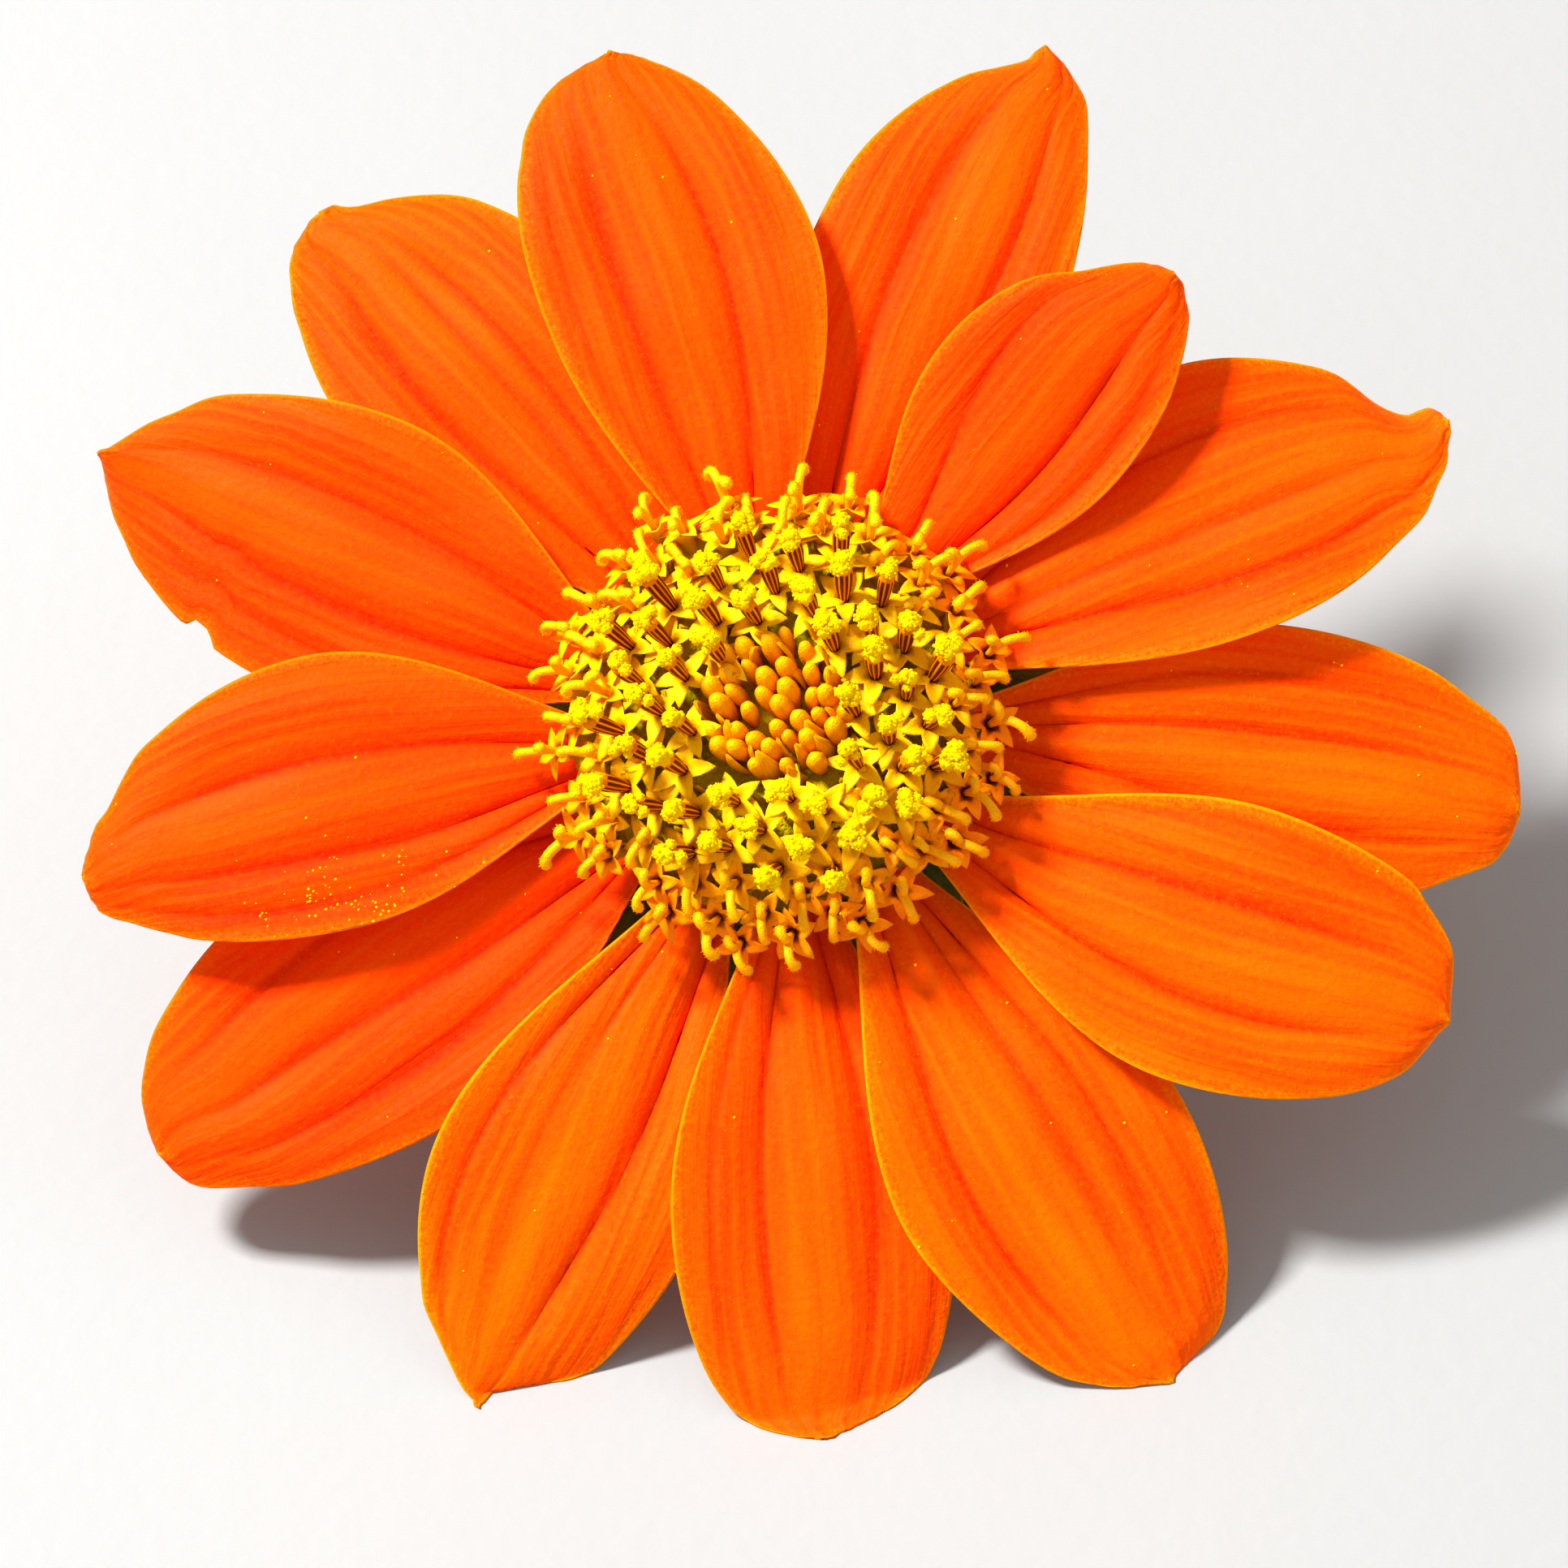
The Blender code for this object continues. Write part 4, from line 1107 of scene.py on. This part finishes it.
spiral = spiral_tree()
bed_olive = spotted_finish("chaff_bed", (0.4, 0.31, 0.0), (0.6, 0.43, 0.0), 0.7, 0.03, 0.0016, 0.0003,
                           0.0001)
bed = show("chaff_bed", bed_mesh(), bed_olive)
scales = [chaff_template("scale", curl) for curl in (0.0, 0.15, -0.1)]
chaff = in_spiral("chaff_scales", scales, chaff_finish(), 0, CHAFF_SCALES, Shift=0.5, Sink=2.5,
                  Spin=0.5, Seed=20)
for piece in (bed, chaff):
    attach(piece, "root")
    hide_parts("disc_florets")


# The corollas are the florets' five-pointed stars, each on a short tube. The younger ones inside are
# bigger and yellower. The older ones outside are smaller, more orange, and dark in the throat.
COROLLA_TUBE = ((0.26, -1.9), (0.33, -1.1), (0.42, -0.5))
COROLLA_THROAT = ((0.34, -0.14), (0.22, -0.7))
COROLLA_LOBES = 5
LOBE_SIDES = 6
LIMB_SHARES = (0.3, 0.65, 1.0)
LIMB_THICKNESS = 0.08
# Painted shade: florets are coloured older-looking towards the lower right, away from the main light,
# along this slope.
SHADE_SIDE_SLOPE = (26.0, -35.0, 0.0)
SHADE_SIDE_MIDDLE = 0.45
YOUNG_STARS = (
    (1.82, 0.8, 0.12, 0.05, 0.1), (1.92, 0.76, 0.08, 0.15, 0.12), (1.76, 0.82, 0.2, 0.05, 0.08),
    (1.84, 0.78, 0.15, 0.25, 0.15),
)
OLD_STARS = (
    (1.68, 0.72, 0.12, 0.1, 0.12), (1.58, 0.74, 0.25, 0.1, 0.15), (1.72, 0.7, 0.05, 0.2, 0.15),
)


def limb_loop(share, drop, reach, notch, rise, droop, uneven):
    """One loop round a star, at a share of the way from its throat to its edge, lowered by drop.

    Every lobe is pointed, and its sides bulge a little before they meet the next lobe in a notch.
    """
    loop = []
    half_turn = pi / COROLLA_LOBES
    for k in range(COROLLA_LOBES * LOBE_SIDES):
        lobe = (k + LOBE_SIDES // 2) // LOBE_SIDES
        off = k / (LOBE_SIDES / 2) - 2 * lobe
        lift = uneven * sin(2.3 * (lobe % COROLLA_LOBES) + 5 * reach)
        foot = notch * cos(half_turn)
        along = foot + (reach * (1 + 0.4 * lift) - foot) * (1 - abs(off))
        across = copysign(notch * sin(half_turn) * (1 - (1 - abs(off)) ** 1.8), off)
        turn = 2 * half_turn * lobe
        edge = Vector((along * cos(turn) - across * sin(turn),
                       along * sin(turn) + across * cos(turn), 0))
        throat = Vector(ring(COROLLA_THROAT[0][0], 0, COROLLA_LOBES * LOBE_SIDES)[k])
        at = throat.lerp(edge, share)
        outward = share * (1 - 0.6 * abs(off))
        at.z = rise * sin(0.62 * pi * share) + (lift - droop) * outward ** 3 - drop
        at.z += 0.02 * abs(off) * share + COROLLA_THROAT[0][1] * (1 - share)
        loop.append(at)
    return loop


def corolla_template(reach, notch, rise, droop, uneven):
    """A star of five lobes that flares from the top of its tube, with its throat open.

    Reach and notch are the radii of the lobes' points and of the notches, rise and droop bend the
    lobes up near the throat and down at the tip, and uneven is how much they differ.
    """
    sides = COROLLA_LOBES * LOBE_SIDES
    shape = (reach, notch, rise, droop, uneven)
    loops = [ring(radius, z, sides) for radius, z in COROLLA_TUBE]
    loops += [limb_loop(share, LIMB_THICKNESS * (1.2 - 0.7 * share), *shape) for share in LIMB_SHARES]
    loops += [limb_loop(share, 0.0, *shape) for share in reversed(LIMB_SHARES)]
    loops += [ring(radius, z, sides) for radius, z in COROLLA_THROAT]
    return skin("corolla", loops)


def age_and_shade_tree():
    """How old a floret is, from nought to one: older further out, and, as painted shade, older-looking
    towards the lower right, away from the main light.
    """
    tree, _, out = new_tree("floret_age_and_shade", "ShaderNodeTree", {}, {"Float": ["Age"]})
    share = node(tree, "ShaderNodeAttribute", attribute_name="share")["Fac"]
    tone = node(tree, "ShaderNodeAttribute", attribute_name="tone")["Fac"]
    place = node(tree, "ShaderNodeTexCoord")["Object"]
    # Painted shade: the value grows towards the lower right, away from the main light.
    shade_side = node(tree, "ShaderNodeVectorMath", {0: place, 1: SHADE_SIDE_SLOPE}, operation="DOT_PRODUCT")
    shade_side = sums(tree, "SUBTRACT", shade_side["Value"], SHADE_SIDE_MIDDLE)
    age_and_shade = sums(tree, "ADD", sums(tree, "MULTIPLY_ADD", share, 1.3, -0.45), shade_side)
    age_and_shade = sums(tree, "MULTIPLY_ADD", sums(tree, "SUBTRACT", tone, 0.5), 0.35, age_and_shade)
    tree.links.new(sums(tree, "MINIMUM", sums(tree, "MAXIMUM", age_and_shade, 0.0), 1.0), out["Age"])
    return tree


def corolla_finish():
    """Golden yellow lobes that turn orange with age, duller in the tube, and maroon in an old throat.
    Towards the lower right, away from the main light, painted shade makes them more orange too.
    """
    made = Finish("corolla_gold", (1.0, 0.57, 0.0), 0.4, specular=0.05)
    spots = made.spots(0.0008, 0.00012)
    along = made.uv()[0]
    aged_and_shaded = placed_group(made.tree, age_and_shade_tone)["Age"]
    # More orange with age, and with painted shade towards the lower right.
    made.lay((1.0, 0.22, 0.0), aged_and_shaded)
    made.lay((1.0, 0.36, 0.0), spots["Blotch"], 0.25)
    made.lay((0.95, 0.25, 0.0), made.ramp(along, 0.7, 0.84, 0.2))
    made.lay((0.6, 0.32, 0.0), made.ramp(along, 0.3, 0.2))
    # The throat darkens with age, and with painted shade towards the lower right.
    dark = made.sums("MULTIPLY_ADD", aged_and_shaded, 0.65, 0.3)
    made.lay((0.14, 0.014, 0.0), made.sums("MULTIPLY", made.ramp(along, 0.8, 0.88), dark))
    return made.done(spots["Grain"], 0.00002)


age_and_shade_tone = age_and_shade_tree()
corolla_gold = corolla_finish()
young_stars = [corolla_template(*shape) for shape in YOUNG_STARS]
old_stars = [corolla_template(*shape) for shape in OLD_STARS]
inner_corollas = in_spiral("corollas_inner", young_stars, corolla_gold, 0, POLLEN_FLORETS)
outer_corollas = in_spiral("corollas_outer", old_stars, corolla_gold, POLLEN_FLORETS, STYLE_FLORETS)
for piece in (inner_corollas, outer_corollas):
    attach(piece, "root")
    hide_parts("disc_florets")


# An inner floret holds a tube of five joined anthers, maroon with yellow seams. The style pushes the
# pollen out at its top, where it stands as a grainy lemon-yellow clump.
ANTHER_PROFILE = (
    (0.24, -0.35), (0.3, 0.1), (0.38, 0.6), (0.44, 1.2), (0.46, 1.75), (0.45, 2.0), (0.42, 2.2),
    (0.3, 2.45),
)
ANTHER_SIDES = 20
ANTHER_FLUTE = 0.07
POLLEN_CENTRE = 2.62
POLLEN_LUMPS = 8
POLLEN_LUMP_RADIUS = 0.36
POLLEN_SPREAD = 0.5
POLLEN_HEAPS = ((1, 0.85, 0.1), (2, 1.0, -0.15), (3, 0.75, 0.2), (4, 0.95, 0.0))
GRAINS_PER_MM2 = 18.0
GRAIN_SIZES = (0.6 * 0.085, 1.45 * 0.085)


def anther_finish():
    """Ten maroon bands, two to an anther, with yellow seams, and an orange collar at the top."""
    made = Finish("anther_maroon", (0.15, 0.016, 0.0), 0.45, specular=0.05)
    along, around = made.uv()
    seam = made.ramp(made.wave(around, 10), 0.0, 0.6)
    between = made.sums("GREATER_THAN", made.wave(around, 5), 0.0)
    made.lay(blend_colours(made.tree, between, (0.95, 0.36, 0.0), (0.8, 0.2, 0.0)), seam)
    made.lay((0.85, 0.25, 0.0), made.ramp(along, 0.72, 0.78))
    return made.done(seam, 0.00003)


def grain_template(name):
    """A grain of pollen of radius one."""
    made = bmesh.new()
    bmesh.ops.create_icosphere(made, subdivisions=1, radius=1.0)
    mesh = plain(name, made)
    mesh.shade_smooth()
    return bpy.data.objects.new(name, mesh)


def clump_template(seed, squash, lean):
    """A ragged heap of pollen lumps, covered with grains."""
    made = bmesh.new()
    for lump in range(POLLEN_LUMPS):
        turn = lump * GOLDEN_ANGLE + seed
        out = POLLEN_SPREAD * sqrt(lump / POLLEN_LUMPS) * (1 + 0.5 * sin(3 * lump + seed))
        rise = POLLEN_CENTRE + squash * (0.32 - 0.7 * out) + 0.12 * sin(5 * lump + 2 * seed)
        centre = Vector((out * cos(turn) + lean, out * sin(turn), rise))
        size = POLLEN_LUMP_RADIUS * (1 + 0.25 * sin(7 * lump + seed))
        bmesh.ops.create_icosphere(made, subdivisions=1, radius=size, matrix=Matrix.Translation(centre))
    mesh = plain("lumps", made)
    mark(mesh)
    grains = haired("grains", mesh, pollen_grain, pollen, GRAINS_PER_MM2, GRAIN_SIZES, 0.6, seed,
                    unit=1.0)
    mark(grains)
    return joined("clump", [mesh, grains])


pollen = spotted_finish("pollen", (1.0, 0.52, 0.0), (1.0, 0.72, 0.0), 0.75, 0.03, 0.0003, 0.00006,
                        0.00003)
pollen_grain = grain_template("pollen_grain")
anther = lathe("anther", ANTHER_PROFILE, ANTHER_SIDES, flutes=5, flute_depth=ANTHER_FLUTE)
anther_tubes = in_spiral("anther_tubes", [anther], anther_finish(), 0, POLLEN_FLORETS)
clumps = [clump_template(*shape) for shape in POLLEN_HEAPS]
pollen_clumps = in_spiral("pollen_clumps", clumps, pollen, 0, POLLEN_FLORETS, Smallest=0.85, Largest=1.1)
for piece in (anther_tubes, pollen_clumps):
    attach(piece, "root")
    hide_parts("disc_florets")


# An outer floret has shed its pollen. Its style now stands out of the dark throat and has split into
# two yellow branches that curl back from each other, each with a swollen, bristly end.
STYLE_RADIUS = 0.26
STYLE_END_RADIUS = 0.32
STYLE_SIDES = 8
STYLE_STATIONS = 11
BRISTLES_PER_MM2 = 30.0
BRISTLE_LENGTHS = (0.6 * 0.15, 0.15)
STYLE_FOOT = (0.0, 0, -0.3)
STYLE_SHAPES = (
    (5, ((0.04, 0, 0.5), (0.38, 0, 1.0), (0.85, 0.05, 1.15), (1.28, 0.1, 0.95), (1.45, 0.1, 0.55)),
     ((0.04, 0, 0.5), (0.2, 0, 0.92), (0.42, -0.05, 1.05), (0.62, -0.1, 0.92), (0.68, -0.1, 0.65))),
    (6, ((0.05, 0, 0.6), (0.4, 0, 1.2), (0.88, -0.1, 1.5), (1.4, -0.2, 1.48), (1.75, -0.25, 1.2)),
     ((0.05, 0, 0.6), (0.2, 0, 1.15), (0.42, 0.1, 1.4), (0.65, 0.2, 1.38), (0.78, 0.25, 1.15))),
    (7, ((0.05, 0, 0.5), (0.4, 0.05, 0.9), (0.9, 0.1, 0.95), (1.28, 0.15, 0.7), (1.25, 0.2, 0.35)),
     ((0.05, 0, 0.5), (0.22, 0.05, 0.85), (0.45, 0.1, 0.95), (0.65, 0.1, 0.82), (0.7, 0.1, 0.55))),
    (9, ((0.02, 0, 0.7), (0.22, 0, 1.3), (0.65, 0, 1.7), (1.1, 0.1, 1.6), (1.2, 0.1, 1.15)),
     ((0.05, 0, 0.7), (0.18, 0, 1.2), (0.45, 0, 1.5), (0.75, -0.1, 1.45), (0.9, -0.1, 1.15))),
)


def branch_mesh(path, side):
    """One curled branch of a style along a path, marked where it is bristly."""
    centres = [curve_at(path, i / (STYLE_STATIONS - 1)) for i in range(STYLE_STATIONS)]
    loops = []
    bristly = []
    for i, (x, y, z) in enumerate(centres):
        u = i / (STYLE_STATIONS - 1)
        before = Vector(centres[max(0, i - 1)])
        after = Vector(centres[min(STYLE_STATIONS - 1, i + 1)])
        heading = (after - before).normalized()
        across = heading.cross(Vector((0, 1, 0))).normalized()
        third = heading.cross(across)
        radius = STYLE_RADIUS * (0.65 + 0.3 * ease(u / 0.3))
        radius += (STYLE_END_RADIUS - STYLE_RADIUS) * ease((u - 0.62) / 0.22)
        radius *= 1 - 0.55 * ease((u - 0.9) / 0.1)
        loop = []
        for k in range(STYLE_SIDES):
            a = 2 * pi * k / STYLE_SIDES
            at = Vector((x, y, z)) + (across * cos(a) + third * sin(a)) * radius
            loop.append((at.x * side, at.y, at.z))
            bristly.append(ease((u - 0.55) / 0.2) * (1 if u < 0.98 else 0.6))
        loops.append(loop)
    return skin("branch", loops, marks={"downy": bristly})


def style_template(seed, outward, inward):
    """A style's two branches, along their paths from a shared foot, with their bristles."""
    paths = (((STYLE_FOOT, *outward), 1), ((STYLE_FOOT, *inward), -1))
    limbs = joined("limbs", [branch_mesh(path, side) for path, side in paths])
    bristles = haired("bristles", limbs, bristle, None, BRISTLES_PER_MM2, BRISTLE_LENGTHS, 0.5, seed,
                      unit=1.0)
    mark(bristles)
    return joined("style", [limbs, bristles])


def style_finish():
    """Bright yellow, a little waxy, paler at the bristly end, more orange with age and with painted
    shade.
    """
    made = Finish("style_yellow", (1.0, 0.4, 0.0), 0.22, specular=0.08)
    spots = made.spots(0.0006, 0.0001)
    made.lay((1.0, 0.58, 0.0), made.uv()[0])
    # More orange with age, and with painted shade towards the lower right.
    made.lay((1.0, 0.32, 0.0), placed_group(made.tree, age_and_shade_tone)["Age"], 0.7)
    made.lay((1.0, 0.5, 0.0), spots["Blotch"], 0.2)
    return made.done(spots["Grain"], 0.00003)


bristle = hair_template("bristle", 0.14, 0.2)
curls = [style_template(*shape) for shape in STYLE_SHAPES]
styles = in_spiral("style_branches", curls, style_finish(), POLLEN_FLORETS, STYLE_FLORETS, Spin=0.55)
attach(styles, "root")
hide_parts("disc_florets")


# The buds are the florets at the centre that have yet to open: ochre eggs, each of five lobes closed
# to a blunt point, with curved yellow chaff between them.
BUDS = 36
BUD_SPACING = 0.61
BUD_FOOT = 5.5
BUD_FAN = 6.0
BUD_PROFILE = (
    (0.3, -0.9), (0.4, -0.3), (0.5, 0.3), (0.56, 0.85), (0.53, 1.3), (0.43, 1.65), (0.27, 1.9),
    (0.05, 2.0),
)
BUD_SIDES = 15
BUD_SEAM = 0.045
BUD_CHAFF = 24
BUD_UNRULE = 0.22
BUD_SIZES = (0.74, 1.04)
BUD_LEAN = 22.0


def bud_spiral(name, kinds, finish, count, **values):
    """Fills the middle of the head with buds or their chaff."""
    reach = BUD_SPACING * sqrt(BUDS)
    settings = {
        "Inner": 0.0, "Outer": reach, "Spread": 1.0, "Out_Of": BUDS, "Seed": 40,
        "Top": BUD_FOOT, "Rim": BUD_FOOT, "Fall": 1.0, "Unrule": BUD_UNRULE,
        "Least_Tilt": radians(BUD_FAN * MOUTH_RADII[0] / 2),
        "Most_Tilt": radians(BUD_FAN * MOUTH_RADII[1] / 2),
        "Smallest": BUD_SIZES[0], "Largest": BUD_SIZES[1], "Lean": radians(BUD_LEAN),
    }
    settings.update(values)
    return in_spiral(name, kinds, finish, 0, count, **settings)


def bud_finish():
    """Ochre-orange, shiny, deeper towards the foot, with darker seams between the closed lobes."""
    made = Finish("bud_ochre", (0.6, 0.14, 0.0), 0.3, specular=0.07)
    spots = made.spots(0.0007, 0.0001)
    along, around = made.uv()
    made.lay((1.0, 0.45, 0.0), made.ramp(along, 0.25, 0.85))
    made.lay((1.0, 0.48, 0.0), made.mark("tone"), 0.35)
    made.lay((0.9, 0.24, 0.0), spots["Blotch"], 0.3)
    made.lay((0.55, 0.12, 0.0), made.ramp(made.wave(around, 5), -0.85, -1.0, 0.25))
    return made.done(spots["Grain"], 0.00003)


def young_chaff_finish():
    """The chaff among the buds is yellow-orange, and darker at its foot."""
    made = Finish("young_chaff", (0.55, 0.24, 0.0), 0.4, specular=0.07)
    vein = made.lines(5.0, 0.02)["Vein"]
    made.lay((1.0, 0.42, 0.0), made.uv()[0])
    made.lay((1.0, 0.5, 0.0), vein, 0.2)
    return made.done(vein, 0.00003)


bud = lathe("bud", BUD_PROFILE, BUD_SIDES, flutes=5, flute_depth=BUD_SEAM)
buds = bud_spiral("buds", [bud], bud_finish(), BUDS)
young_scales = [chaff_template("young_scale", curl) for curl in (0.35, 0.2, 0.5)]
young_chaff = bud_spiral("buds_chaff", young_scales, young_chaff_finish(), BUD_CHAFF, Shift=11.5,
                         Sink=0.6, Spin=0.9, Seed=50, Smallest=0.8, Largest=1.05)
for piece in (buds, young_chaff):
    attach(piece, "root")
    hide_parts("disc_buds")


# Pollen has dropped on the rays. Most of it lies in one patch on the ray that points left, and a few
# specks are scattered over the others.
DUST_PER_MM2 = 0.02
DUST_PATCH_PER_MM2 = 14.0
DUST_PATCH = ((0.54, 0.78), (0.085, 0.3))
DUST_RAY = 11
DUST_SIZES = (0.03, 0.09)


def dust_marks(piece, patch):
    """Marks the upper face of a ray by how much pollen lies there."""
    uv = [None] * len(piece.data.vertices)
    for corner, place in zip(piece.data.loops, piece.data.uv_layers["UVMap"].data):
        uv[corner.vertex_index] = place.uv
    (u, v), (long, wide) = DUST_PATCH
    marks = []
    for vertex, up in enumerate(piece.data.attributes["upper"].data):
        along, across = uv[vertex][0], uv[vertex][1] * 2 - 1
        amount = DUST_PER_MM2 / DUST_PATCH_PER_MM2
        if patch:
            thick = exp(-((along - u) / long) ** 2 - ((across - v) / wide) ** 2)
            amount += thick * max(0, 0.3 + 2.4 * rough(along * 28, across * 9, 2))
        marks.append(amount if up.value > 0.5 and along > 0.2 else 0.0)
    return marks


dust_meshes = []
for number, piece in enumerate(ray_pieces, 1):
    dusted = piece.data.copy()
    mark(dusted, dust_marks(piece, number == DUST_RAY), "dust")
    dust_meshes.append(haired(f"dust_{number}", dusted, pollen_grain, pollen, DUST_PATCH_PER_MM2,
                              DUST_SIZES, 1.0, number, label="dust"))
dust = show("pollen_dust", joined("pollen_dust", dust_meshes), pollen)
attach(dust, "root")


# The flower lies on a plain pale table under soft light. The main light is high on the left, as in the
# photo, and the camera looks down on the face of the head.
PIXELS_PER_MM = 23.6
PICTURE_PIXELS = 1932
CAMERA_DISTANCE = 420.0
CAMERA_DIRECTION = (0.08, -0.13)
CAMERA_AIM = (0.466, -3.22, 0.0)
SENSOR_WIDTH = 36.0
TABLE_SIZE = 6.0
MAIN_LIGHT = ((-0.5, 0.55, 0.67), 0.75, 0.14, 12.6)
SIDE_LIGHT = ((0.9, -0.3, 0.45), 0.8, 0.5, 0.9)
SKY = (1.0, 0.99, 0.97)
SKY_STRENGTH = 0.6


def look_from(thing, direction, aim, distance):
    """Puts a camera or light at a distance from a point of the head, looking at it, with the top up."""
    back = Vector(direction).normalized()
    up = Vector((0, 1, 0))
    top = (up - back * back.dot(up)).normalized()
    turn = Matrix((top.cross(back), top, back)).transposed().to_4x4()
    turn = Matrix.Rotation(radians(HEAD_LEAN), 4, "X") @ turn
    place = head_to_table() @ (Vector(aim) + back * distance)
    thing.matrix_world = Matrix.Translation(place) @ turn
    bpy.context.scene.collection.objects.link(thing)


def add_light(name, direction, distance, size, power):
    """A soft square light."""
    light = bpy.data.lights.new(name, "AREA")
    light.size = size
    light.energy = power
    look_from(bpy.data.objects.new(name, light), direction, (0, 0, 0), distance / MM)


corners = [(x * TABLE_SIZE / 2, y * TABLE_SIZE / 2, 0) for x, y in ((-1, -1), (1, -1), (1, 1), (-1, 1))]
table_mesh = bpy.data.meshes.new("table")
table_mesh.from_pydata(corners, [], [(0, 1, 2, 3)])
pale_table = spotted_finish("pale_table", (0.36, 0.36, 0.355), (0.38, 0.38, 0.375), 0.75, 0.2, 0.09,
                            0.0015, 0.00002)
table = show("table", table_mesh, pale_table)

add_light("main_light", *MAIN_LIGHT)
add_light("side_light", *SIDE_LIGHT)
world = bpy.data.worlds.new("sky")
world.use_nodes = True
world.node_tree.nodes["Background"].inputs["Color"].default_value = (*SKY, 1)
world.node_tree.nodes["Background"].inputs["Strength"].default_value = SKY_STRENGTH
bpy.context.scene.world = world
bpy.context.scene.view_settings.view_transform = "Standard"

lens = bpy.data.cameras.new("camera")
lens.sensor_width = SENSOR_WIDTH
lens.lens = SENSOR_WIDTH * PIXELS_PER_MM * CAMERA_DISTANCE / PICTURE_PIXELS
lens.clip_start = 0.01
camera = bpy.data.objects.new("camera", lens)
x, y = CAMERA_DIRECTION
look_from(camera, (x, y, sqrt(1 - x * x - y * y)), CAMERA_AIM, CAMERA_DISTANCE)
bpy.context.scene.camera = camera
